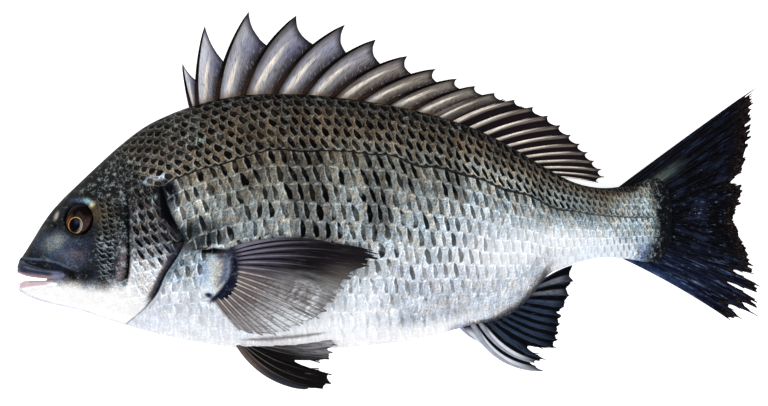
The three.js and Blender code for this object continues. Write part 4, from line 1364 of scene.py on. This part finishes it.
class Painter:
    """A material's node tree, with short calls for the nodes that its colours need."""

    def __init__(self, name, settings):
        self.material = bpy.data.materials.new(name)
        self.material.use_nodes = True
        self.tree = self.material.node_tree
        self.shader = self.tree.nodes["Principled BSDF"]
        for socket, value in settings.items():
            self.shader.inputs[socket].default_value = value

    def node(self, kind, **inputs):
        made = self.tree.nodes.new(kind)
        for name, item in inputs.items():
            fill(self.tree, made.inputs[name], item)
        return made

    def attribute(self, name):
        made = self.node("ShaderNodeAttribute")
        made.attribute_name = name
        return made

    def colour(self, name):
        return self.attribute(name).outputs["Color"]

    def number(self, name):
        return Value(self.tree, self.attribute(name).outputs["Fac"])

    def parts(self, name):
        """The three numbers of a vector attribute."""
        split = self.node("ShaderNodeSeparateXYZ", Vector=self.attribute(name).outputs["Vector"])
        return [Value(self.tree, output) for output in split.outputs]

    def place(self):
        return self.node("ShaderNodeTexCoord").outputs["Object"]

    def vector(self, x, y, z=0.0):
        return self.node("ShaderNodeCombineXYZ", X=x, Y=y, Z=z).outputs[0]

    def noise(self, vector, scale, detail=2.0, roughness=0.5):
        amounts = {"Scale": scale, "Detail": detail, "Roughness": roughness}
        made = self.node("ShaderNodeTexNoise", Vector=vector, **amounts)
        return Value(self.tree, made.outputs["Fac"])

    def random(self, x, y):
        made = self.node("ShaderNodeTexWhiteNoise", Vector=self.vector(x, y))
        return Value(self.tree, made.outputs["Value"])

    def blend(self, low, high, share, mode="MIX"):
        """Mixes two colours, each an output or three sRGB numbers."""
        made = self.tree.nodes.new("ShaderNodeMix")
        made.data_type = "RGBA"
        made.blend_type = mode
        fill(self.tree, made.inputs[0], share)
        sockets = [socket for socket in made.inputs if socket.type == "RGBA"]
        for socket, colour in zip(sockets, (low, high)):
            fill(self.tree, socket, rgba(colour) if isinstance(colour, tuple) else colour)
        return next(output for output in made.outputs if output.type == "RGBA")

    def layers(self, colour, *layers):
        """A colour with others laid over it in turn, each given with its share."""
        for over, share in layers:
            colour = self.blend(colour, over, share)
        return colour

    def scaled_colour(self, colour, factor):
        """A colour made brighter or darker by a Value."""
        return self.blend(colour, self.vector(factor, factor, factor), 1.0, "MULTIPLY")

    def bump(self, height, strength, distance):
        made = self.node("ShaderNodeBump", Height=height, Strength=strength, Distance=distance)
        fill(self.tree, self.shader.inputs["Normal"], made.outputs[0])

    def finish(self, colour, roughness=None):
        fill(self.tree, self.shader.inputs["Base Color"], colour)
        if roughness is not None:
            fill(self.tree, self.shader.inputs["Roughness"], roughness)
        return self.material


WET = {"Specular IOR Level": 0.025, "Coat Weight": 0.008, "Coat Roughness": 0.15}
REAR_SCALES = (38.0, 46.0)  # from here back the scales are alike in darkness, counted in columns
BLACK_LENS = (4, 4, 5)
LINE_PAINT = (9, 10, 12)


class Scale:
    """Where the parts of each scale are, as Values from 0 to 1: its dark rear (lens), the pale
    streak in front of that, its pale outline, and the roof, its pale upper border over a shadow.
    luck and second_luck are two random numbers for each scale.
    """

    def __init__(self, paint, dark, net, mottle, cloud):
        u, v, slant = paint.parts("lattice")
        row, column, across, ahead, past_border = scale_cell(u, v, slant)
        self.u, self.v = u, v
        self.luck = paint.random(column, row)
        self.second_luck = paint.random(row + 7.5, column)
        self.above = smooth(0.0, -1.0, v)
        self.rearward = smooth(*REAR_SCALES, u)
        varied = (0.66 + self.luck * 0.54) * (0.6 + 0.55 * smooth(0.4, 0.56, cloud))
        self.darkness = dark * mix(varied, 0.74 + 0.22 * self.luck, 0.75 * self.rearward)
        middle_part = compute("MAXIMUM", 1 - 2.7 * (across + 0.06) * (across + 0.06), 0.0)
        full = 0.66 + 0.34 * smooth(0.15, 0.45, self.darkness)
        width = (0.46 + 0.18 * self.above) * middle_part * full
        self.lens = smooth(-0.01, 0.03, ahead) * smooth(width + 0.03, width - 0.03, ahead)
        streak = bell((ahead - width - 0.07) / 0.06) * smooth(0.02, 0.3, middle_part)
        self.streak = streak * (1 - 0.75 * self.above) * (0.2 + 1.1 * net)
        outline = bell((ahead - width) / 0.04) + smooth(0.06, 0.0, ahead)
        self.outline = outline * self.above * smooth(0.2, 0.5, mottle)
        roof = bell((past_border - 0.12) / 0.12) * (0.15 + bell((ahead - 0.62) / 0.22))
        self.roof = roof * (1 - 0.5 * self.above)
        self.under_roof = bell((past_border + 0.05) / 0.06)

    def lateral_line(self, speckle):
        """The dark lateral line, with a tooth up into each scale above it."""
        above_side = compute("GREATER_THAN", 0.0, self.v)
        tooth = bell((compute("FRACT", self.u) - 0.5) / 0.2) * above_side
        off = compute("ABSOLUTE", self.v + (speckle - 0.5) * 0.12)
        return smooth(0.06, 0.0, off - mix(0.035, 0.08, self.rearward) - 0.16 * tooth)


def skin_material():
    """Each scale has a dark rear, pale edges and its own luck of the draw in tone and darkness."""
    paint = Painter("scaled_skin", WET)
    dark, scaled, net = paint.parts("strength")
    line, glints, hue = paint.parts("marks")
    place = paint.place()
    speckle = paint.noise(place, 1300, 3, 0.75)
    mottle = paint.noise(place, 330, 3, 0.65)
    tint = paint.noise(place, 300, 3)
    cloud = paint.noise(place, 120, 3)
    clump = paint.noise(place, 380, 8, 0.85)
    scale = Scale(paint, dark, net, mottle, cloud)
    stripes = paint.noise(paint.vector(scale.u * 4.5, scale.v * 0.8), 1.0, 3, 0.6)
    above = scale.above

    grain = (speckle - 0.5) * (3.0 + 2.0 * glints) + (stripes - 0.5) * 3.0 * scaled
    light = (1 + (mottle - 0.5) * 1.6) * (1 + grain) * (1 + scaled * (scale.luck - 0.5) * 0.4)
    light = light * (1.36 - 0.6 * cloud)
    tone = paint.scaled_colour(
        paint.colour("tone"), compute("MAXIMUM", mix(1, light, 0.12 + 0.88 * hue), 0.12))
    warm = paint.blend(tone, (255, 240, 220), 1.0, "MULTIPLY")
    cool = paint.blend(tone, (226, 240, 250), 1.0, "MULTIPLY")
    warmth = smooth(0.42, 0.62, tint + (scale.second_luck - 0.5) * 0.08 * scaled)
    tone = paint.blend(tone, paint.blend(cool, warm, warmth), hue * 0.7)

    light_edge = paint.blend((216, 226, 230), (216, 208, 192), above)
    pale = paint.blend(paint.scaled_colour(tone, 1.9 + 0.7 * above), light_edge, 0.3 - 0.07 * above)
    shade = paint.scaled_colour(tone, 0.3)
    deep = paint.blend(shade, BLACK_LENS, smooth(0.3, 0.65, scale.darkness))
    lens = scaled * scale.lens * smooth(0.05, 0.42, scale.darkness)
    glint = smooth(0.57 - 0.05 * glints, 0.63 - 0.04 * glints, clump) * glints * hue * (1 - 0.85 * lens)
    colour = paint.layers(
        tone,
        (pale, scaled * scale.streak * smooth(0.36, 0.6, mottle)),
        (pale, scaled * compute("MINIMUM", scale.outline * (0.35 + 1.2 * net), 1.0)),
        (pale, scaled * compute("MINIMUM", scale.roof * (0.15 + 1.4 * net), 1.0)),
        (shade, scaled * scale.under_roof * 0.5 * dark),
        (deep, lens),
        (paint.blend(pale, (172, 190, 196), 0.5), glint * 0.8),
        (LINE_PAINT, scale.lateral_line(speckle) * line * 0.95),
    )
    paint.bump(speckle, 0.4, 0.0002)
    return paint.finish(colour, 0.32 + 0.2 * mottle)


class FinPainter(Painter):
    """A fin's painter, with its ray numbers, shares of the length, and 1 on rays."""

    def __init__(self, name):
        super().__init__(name, WET)
        self.number, self.along, self.rod = self.parts("fin")
        self.w = compute("FRACT", self.number)  # share of the way to the next ray

    def streaks(self, number, across_scale, along_scale):
        """Noise drawn out along the rays."""
        return self.noise(self.vector(number * across_scale, self.along * along_scale), 1.0, 4, 0.65)

    def soft_streaks(self):
        """The broad and the fine streaks of a fin with soft rays."""
        return self.streaks(self.number, 3.1, 4), self.streaks(self.number + 0.3 * self.along, 16, 9)


def spiny_web(paint, grain, spiny, luck):
    """Web between spines: dull to bright across it, white and blue in front, dark behind."""
    number, along, w = paint.number, paint.along, paint.w
    late = smooth(4.5, 7.0, number)
    dull = paint.blend((92, 88, 92), (84, 74, 66), late)
    bright = paint.blend((150, 150, 160), (120, 114, 106), late)
    blue = smooth(6.5, 3.5, number) * smooth(0.45, 0.75, along)
    blue = blue * smooth(0.2, 0.45, w) * smooth(0.35, 0.6, grain)
    patch = bell((w - 0.3) / 0.09) * smooth(0.35, 0.05, along) * spiny * smooth(0.3, 0.6, luck)
    return paint.layers(
        dull,
        (bright, smooth(0.08, 0.3, w) * smooth(0.85, 0.4, w) * smooth(0.3, 0.6, grain + 0.1)),
        ((206, 206, 216), smooth(3.2, 0.8, number) * smooth(0.55, 0.2, w) * 0.8),
        ((84, 90, 134), blue * 0.55),
        ((34, 31, 34), smooth(0.6, 0.95, w) * 0.9),
        ((52, 46, 44), smooth(0.1, 0.03, w) * spiny * 0.6),
        ((22, 16, 20), (1 - spiny) * smooth(0.2, 0.4, w)),
        ((190, 204, 226), patch * 0.8),
    )


def dorsal_material():
    """Spiny part: grey-brown webs, each with a cream streak, a painted highlight along the web's fold,
    blue above and amber at the root. Soft part: cream rays between dark webs."""
    paint = FinPainter("dorsal_fin")
    number, along, w = paint.number, paint.along, paint.w
    soft = smooth(9.5, 11.5, number)
    spiny = 1 - soft
    luck = paint.random(compute("FLOOR", number), 3.0)
    grain = paint.streaks(number + 0.3 * along, 7, 2.4)
    fine = paint.streaks(number + 0.5 * along, 40, 6)
    scratch = smooth(0.54, 0.66, paint.streaks(number + 1.6 * along, 26, 11))
    dark_scratch = smooth(0.55, 0.64, paint.streaks(number + 0.9 * along + 3.3, 30, 9))
    # The cream streak: a painted highlight along the fold of each web.
    past = w - ((0.3 + 0.12 * along) * spiny + soft * 0.03 + (grain - 0.5) * 0.16)
    broad = 0.29 - 0.22 * along - 0.02 * soft
    streak = smooth(-0.05, 0.0, past) * smooth(broad, 0.02, past) * (0.6 + 0.8 * fine)
    streak = streak * smooth(0.85, 0.45, along + (luck - 0.5) * 0.3)
    web = paint.layers(
        spiny_web(paint, grain, spiny, luck),
        ((226, 216, 202), compute("MINIMUM", streak, 1.0)),
        ((176, 176, 184), scratch * 0.45 * spiny * smooth(0.1, 0.3, w)),
        ((40, 37, 42), dark_scratch * 0.7 * spiny),
        ((126, 98, 66), smooth(0.11, 0.0, along) * spiny * smooth(0.35, 0.6, fine) * 0.8),
        ((14, 12, 16), smooth(0.88, 1.0, along) * 0.9),
    )
    spine = paint.blend((46, 34, 29), (7, 6, 7), smooth(0.0, 0.4, along + (grain - 0.5) * 0.8))
    soft_ray = paint.blend((222, 212, 202), (56, 48, 48), smooth(0.35, 0.85, along))
    colour = paint.blend(web, paint.blend(spine, soft_ray, soft), paint.rod)
    colour = paint.scaled_colour(colour, 0.4 + 1.2 * grain)
    colour = paint.scaled_colour(colour, 0.2 + 1.6 * fine)
    paint.bump(grain + fine, 0.4, 0.0003)
    return paint.finish(colour, 0.36)


def anal_material():
    """Pale front spines, black webs with a painted blue-grey sheen beside the rays, and blue-grey rays."""
    paint = FinPainter("anal_fin")
    number, along = paint.number, paint.along
    grain, fine = paint.soft_streaks()
    front = smooth(2.9, 2.5, number)
    broad = smooth(0.55, 0.4, paint.w - 0.3 * smooth(1.0, 0.9, number))
    # A painted sheen on each web beside its ray, pale by the front spines.
    sheen = paint.layers(
        (40, 53, 72), ((206, 210, 220), front), ((98, 102, 110), smooth(9.0, 10.5, number)))
    shine = broad * smooth(0.34, 0.62, grain + 0.1 + 0.2 * front) * smooth(1.05, 0.6, along)
    web = paint.blend((6, 7, 12), sheen, shine * (1 - front * smooth(0.25, 0.0, along)))
    colour = paint.blend(web, paint.blend((44, 50, 66), (148, 152, 164), front), paint.rod)
    colour = paint.layers(
        paint.scaled_colour(colour, 0.45 + 1.1 * fine),
        ((60, 84, 130), smooth(0.6, 0.72, grain) * smooth(0.9, 0.5, along) * 0.5),
        ((160, 172, 196), smooth(0.6, 0.7, fine) * smooth(0.25, 0.05, along) * 0.6),
    )
    paint.bump(grain + fine, 0.5, 0.0003)
    return paint.finish(colour, 0.34)


def tail_material():
    """Near-black, with short blue glints, painted wet sheen and highlights, bluer below, and rusty at the
    worn edge.
    """
    paint = FinPainter("tail_fin")
    number, along = paint.number, paint.along
    grain, fine = paint.soft_streaks()
    lower = smooth(14, 22, number)
    web = paint.blend((4, 4, 6), (10, 13, 26), lower * smooth(0.95, 0.5, along))
    colour = paint.layers(
        web,
        (paint.blend((10, 11, 17), (20, 28, 50), lower), paint.rod),
        ((3, 4, 6), smooth(0.2, 0.02, along) * smooth(2, 6, number)),
    )
    # Broad patches of painted wet sheen.
    patch = smooth(0.5, 0.66, paint.streaks(number, 0.9, 3.2)) * smooth(0.95, 0.6, along)
    blue = smooth(0.56, 0.7, paint.streaks(number, 3.2, 6)) * smooth(0.98, 0.8, along)
    green = bell((number - 3.6) / 0.8) * smooth(0.42, 0.1, along)
    edge = smooth(22.6, 23.6, number) * smooth(0.75, 0.3, along) * smooth(0.35, 0.65, fine)
    # Painted highlights: sparkles, and long wet streaks in the lower lobe.
    sparkle = smooth(0.6, 0.68, paint.streaks(number + 5.5, 5, 9)) * smooth(5, 9, number)
    wet_highlight = smooth(0.56, 0.66, paint.streaks(number + 2.2, 2.6, 3.5)) * smooth(15, 18, number)
    rust = smooth(0.8, 0.97, along) * smooth(0.5, 0.62, paint.streaks(number, 8, 26))
    colour = paint.layers(
        paint.scaled_colour(colour, 0.4 + 1.2 * fine),
        ((30, 38, 58), patch * 0.7 * smooth(0.05, 0.2, along)),
        ((44, 60, 104), blue * (0.35 + 0.35 * lower)),
        ((84, 96, 92), green * smooth(0.3, 0.6, fine)),
        ((60, 82, 132), edge * 0.6),
        ((150, 168, 200), sparkle * (0.25 + 0.75 * patch) * 0.7),
        ((98, 118, 160), wet_highlight * 0.45 * smooth(1.0, 0.75, along)),
        ((84, 62, 50), rust * 0.4),
    )
    paint.bump(grain + fine, 0.5, 0.0003)
    return paint.finish(colour, 0.3)


def pelvic_material():
    """Black webs with grey rays, rusty at the front and paler in the upper lobe."""
    paint = FinPainter("pelvic_fin")
    number, along = paint.number, paint.along
    grain, fine = paint.soft_streaks()
    upper = smooth(3.5, 6, number)
    front = smooth(1.2, 0.3, number)
    web = paint.layers(
        (13, 11, 12),
        ((66, 63, 66), upper),
        ((150, 150, 154), upper * smooth(0.45, 0.95, along) * smooth(0.35, 0.6, grain)),
    )
    ray = paint.layers(
        (78, 72, 72), ((118, 112, 112), upper), ((34, 30, 34), smooth(0.3, 0.9, along) * (1 - upper)))
    colour = paint.layers(
        web,
        (ray, paint.rod),
        ((92, 78, 74), front * smooth(0.7, 0.1, along) * smooth(0.3, 0.6, grain + 0.1)),
        ((50, 54, 64), front * smooth(0.3, 0.7, along) * 0.7),
    )
    colour = paint.scaled_colour(colour, 0.45 + 1.1 * fine)
    colour = paint.blend(colour, (96, 92, 92), smooth(0.6, 0.72, grain) * 0.3)
    paint.bump(grain + fine, 0.5, 0.0003)
    return paint.finish(colour, 0.34)


def pectoral_material():
    """Purple-black above with thin pale rays, grey-brown below with pale webs between dark rays."""
    paint = FinPainter("pectoral_fin")
    number, along = paint.number, paint.along
    grain, fine = paint.soft_streaks()
    lower = smooth(4.2, 7.0, number + (grain - 0.5) * 1.5)
    upper = 1 - lower
    fade = smooth(0.5, 1.0, along)
    lower_web = paint.layers(
        (98, 92, 94),
        ((214, 218, 223), smooth(0.25, 0.95, along)),
        ((112, 106, 108), smooth(10.5, 13.5, number) * 0.65),
    )
    upper_ray = paint.blend((112, 108, 122), (36, 33, 38), smooth(0.1, 0.7, along))
    lower_ray = paint.blend((168, 158, 152), (104, 98, 98), fade)
    band = bell((compute("ABSOLUTE", paint.w - 0.5) - 0.26) / 0.09)
    ticks = smooth(0.5, 0.62, paint.noise(paint.vector(number * 1.4, along * 34), 1.0, 2))
    bands = smooth(0.36, 0.6, paint.noise(paint.vector(number * 0.35, along * 15), 1.0, 3))
    brown = bands * bell((number - 6.8) / 1.8) * smooth(0.4, 0.62, along)
    colour = paint.layers(
        paint.blend((17, 14, 17), (24, 21, 24), fade),
        (lower_web, lower),
        ((56, 51, 54), band * lower * 0.65),
        ((112, 108, 128), band * upper * smooth(0.6, 0.1, along) * 0.5),
        (paint.blend(upper_ray, lower_ray, lower), paint.rod),
        ((50, 44, 46), ticks * lower * smooth(0.15, 0.4, along) * 0.45),
        ((66, 56, 50), brown * 0.7),
    )
    colour = paint.scaled_colour(colour, 0.5 + 1.0 * fine)
    colour = paint.scaled_colour(colour, 0.5 + 1.0 * grain)
    thread = smooth(0.58, 0.68, paint.streaks(number + 7.7, 18, 3)) * upper
    colour = paint.layers(
        colour,
        ((104, 100, 114), thread * (0.6 + 0.3 * fade)),
        ((118, 112, 106), smooth(0.7, 1.0, along) * smooth(2.5, 5.0, number) * upper * 0.5),
        ((20, 22, 40), smooth(0.08, 0.0, along) * 0.95),
    )
    paint.bump(grain + fine, 0.4, 0.0003)
    return paint.finish(colour, 0.36)


# The lips' colours above, at the lower side, in front and at the ends.
DARK_LIP = ((32, 37, 60), (150, 112, 124), (38, 42, 56), (100, 104, 132))
PALE_LIP = ((196, 172, 180), (240, 236, 240), (176, 150, 158), (240, 236, 240))


def lip_material(name, top, bottom, front, end):
    """A lip: one colour above, another at its lower side, and others at its front and ends."""
    paint = Painter(name, {"Specular IOR Level": 0.2, "Coat Weight": 0.08, "Coat Roughness": 0.12})
    turn = paint.number("turn")
    reach = paint.number("reach")
    grain = paint.noise(paint.place(), 500, 3)
    colour = paint.layers(
        bottom,
        (top, smooth(-0.75, -0.35, turn + (grain - 0.5) * 0.4)),
        (front, smooth(0.35, 0.0, reach) * 0.6),
        (end, smooth(0.93, 0.98, reach) * smooth(0.9, -0.2, turn)),
    )
    paint.bump(grain, 0.3, 0.0002)
    return paint.finish(paint.scaled_colour(colour, 0.75 + 0.5 * grain), 0.3)


def mouth_material():
    paint = Painter("mouth_lining", {"Coat Weight": 0.5, "Coat Roughness": 0.15})
    grain = paint.noise(paint.place(), 400, 3)
    return paint.finish(paint.blend((206, 182, 186), (120, 84, 90), grain), 0.35)


def distance_to(point, x, y):
    dx, dy = x - point[0], y - point[1]
    return compute("SQRT", dx * dx + dy * dy)


def eye_material():
    """A bronze iris with a gold ring round a blue-black pupil, darkened at its top by the lid's painted
    shadow and at its edge by painted shade in the socket, with painted highlights in the pupil and at its
    edge.
    """
    paint = Painter("eye", {"Specular IOR Level": 0.02, "Coat Weight": 0.02, "Coat Roughness": 0.08})
    x, y, _ = paint.parts("disc")
    off_pupil = distance_to(PUPIL_AT, x, y)
    threads = paint.noise(paint.vector(x * 0.9, y * 0.9), 1.0, 4, 0.6)
    threaded = smooth(0.35, 0.6, threads)
    ring = paint.blend((206, 150, 60), (196, 178, 150), smooth(-1.0, 2.0, x))
    pupil_edge_highlight = bell((off_pupil - 2.7) / 0.25) * smooth(0.2, 1.6, x - PUPIL_AT[0])
    pupil_edge_highlight = pupil_edge_highlight * smooth(2.6, 0.6, compute("ABSOLUTE", y - PUPIL_AT[1] + 0.6))
    edge = compute("SQRT", x * x / EYE_RX**2 + y * y / EYE_RY**2)
    # Painted light and shade below: the lid's shadow over the top, a highlight deep in the pupil and one
    # at its edge, and shade at the eyeball's rim in its socket.
    colour = paint.layers(
        (84, 52, 26),
        ((30, 20, 15), threaded),
        ((5, 4, 5), smooth(-2.5, 2.0, y) * 0.95),
        ((96, 60, 32), bell((off_pupil - 4.3) / 0.8) * smooth(-1.5, -3.4, x) * threaded),
        ((58, 52, 56), smooth(1.0, 4.0, x) * smooth(2.0, -3.0, y) * 0.6),
        (ring, bell((off_pupil - 3.3) / 0.15) * (0.6 + 0.6 * threads)),
        ((6, 8, 16), smooth(3.1, 2.8, off_pupil)),
        ((44, 50, 70), smooth(1.5, 0.3, distance_to(SHINE_AT, x, y)) * 0.6),
        ((190, 194, 206), pupil_edge_highlight * 0.5),
        ((4, 4, 6), smooth(0.78, 0.86, edge)),
    )
    return paint.finish(colour, 0.12)


def floor_material():
    glow = {"Emission Color": (1, 1, 1, 1), "Emission Strength": 0.6}
    paint = Painter("pale_floor", {"Roughness": 0.8, "Specular IOR Level": 0.1, **glow})
    grain = paint.noise(paint.place(), 60, 2)
    return paint.finish(paint.blend((250, 250, 250), (247, 247, 247), grain))


# ---------------------------------------------------------------- stage

PIXEL = 0.43  # one of the photograph's pixels at the fish's middle plane
FRAME_WIDTH = 768
LENS, SENSOR = 600, 36
VIEW_CENTRE = (-1.72, -1.29)

FLOOR_HALF, FLOOR_Z = 1600, -0.2
LAMP_SIZE = 0.9  # metres, as are the lamps' places
LAMPS = [  # place and power
    ((-1.1, -0.9, 0.95), 14), ((1.1, -0.9, 0.95), 13), ((-1.1, 0.9, 0.95), 13), ((1.1, 0.9, 0.95), 10),
]


def add_lamp(place, power):
    """A soft square lamp, turned to the fish."""
    data = bpy.data.lights.new("lamp", "AREA")
    data.shape = "SQUARE"
    data.size = LAMP_SIZE
    data.energy = power
    lamp = bpy.data.objects.new("lamp", data)
    lamp.location = place
    way = -Vector(place)
    lamp.rotation_euler = way.to_track_quat("-Z", "Y").to_euler()
    bpy.context.scene.collection.objects.link(lamp)


def build_stage():
    """A pale floor just under the table's plane, four lamps and a faint, cool sky."""
    ways = [(-1, -1), (1, -1), (1, 1), (-1, 1)]
    corners = [(x * FLOOR_HALF, y * FLOOR_HALF, FLOOR_Z) for x, y in ways]
    floor = make_object("floor", corners, [(0, 1, 2, 3)], smooth_faces=False)
    floor.data.materials.append(floor_material())
    for place, power in LAMPS:
        add_lamp(place, power)
    world = bpy.data.worlds.new("studio")
    world.use_nodes = True
    world.node_tree.nodes["Background"].inputs["Color"].default_value = (0.97, 0.98, 1, 1)
    world.node_tree.nodes["Background"].inputs["Strength"].default_value = 0.33
    bpy.context.scene.world = world
    bpy.context.scene.view_settings.view_transform = "Standard"


def build_camera():
    """A long lens straight above, with the photograph's frame."""
    data = bpy.data.cameras.new("camera")
    data.lens = LENS
    data.sensor_width = SENSOR
    distance = FRAME_WIDTH * PIXEL * LENS / SENSOR
    camera = bpy.data.objects.new("camera", data)
    camera.location = (VIEW_CENTRE[0] * MM, VIEW_CENTRE[1] * MM, (REST_HEIGHT + distance) * MM)
    bpy.context.scene.collection.objects.link(camera)
    bpy.context.scene.camera = camera


# ---------------------------------------------------------------- the whole fish


def build_fins():
    build_fin("dorsal_fin", DORSAL, on_middle, 1, dorsal_material())
    build_fin("anal_fin", ANAL, on_middle, 2, anal_material())
    build_fin("tail_fin", CAUDAL, on_middle, 3, tail_material())
    pectoral = pectoral_material()
    pelvic = pelvic_material()
    for name, sign, seed in (("left", 1, 4), ("right", -1, 5)):
        build_fin(f"pectoral_fin_{name}", PECTORAL, along_flank(sign), seed, pectoral)
        build_fin(f"pelvic_fin_{name}", PELVIC, beside(sign), seed + 2, pelvic)


def build_fish():
    skin = Skin()
    skin_pieces(skin, Lattice(skin), skin_material())
    for name, lip, colours in (("upper_lip", UPPER_LIP, DARK_LIP), ("lower_lip", LOWER_LIP, PALE_LIP)):
        lip_piece(name, lip, lip_material(name, *colours))
    mouth_lining(mouth_material())
    eye_pieces(eye_material())
    build_fins()


build_camera()
build_stage()
build_fish()
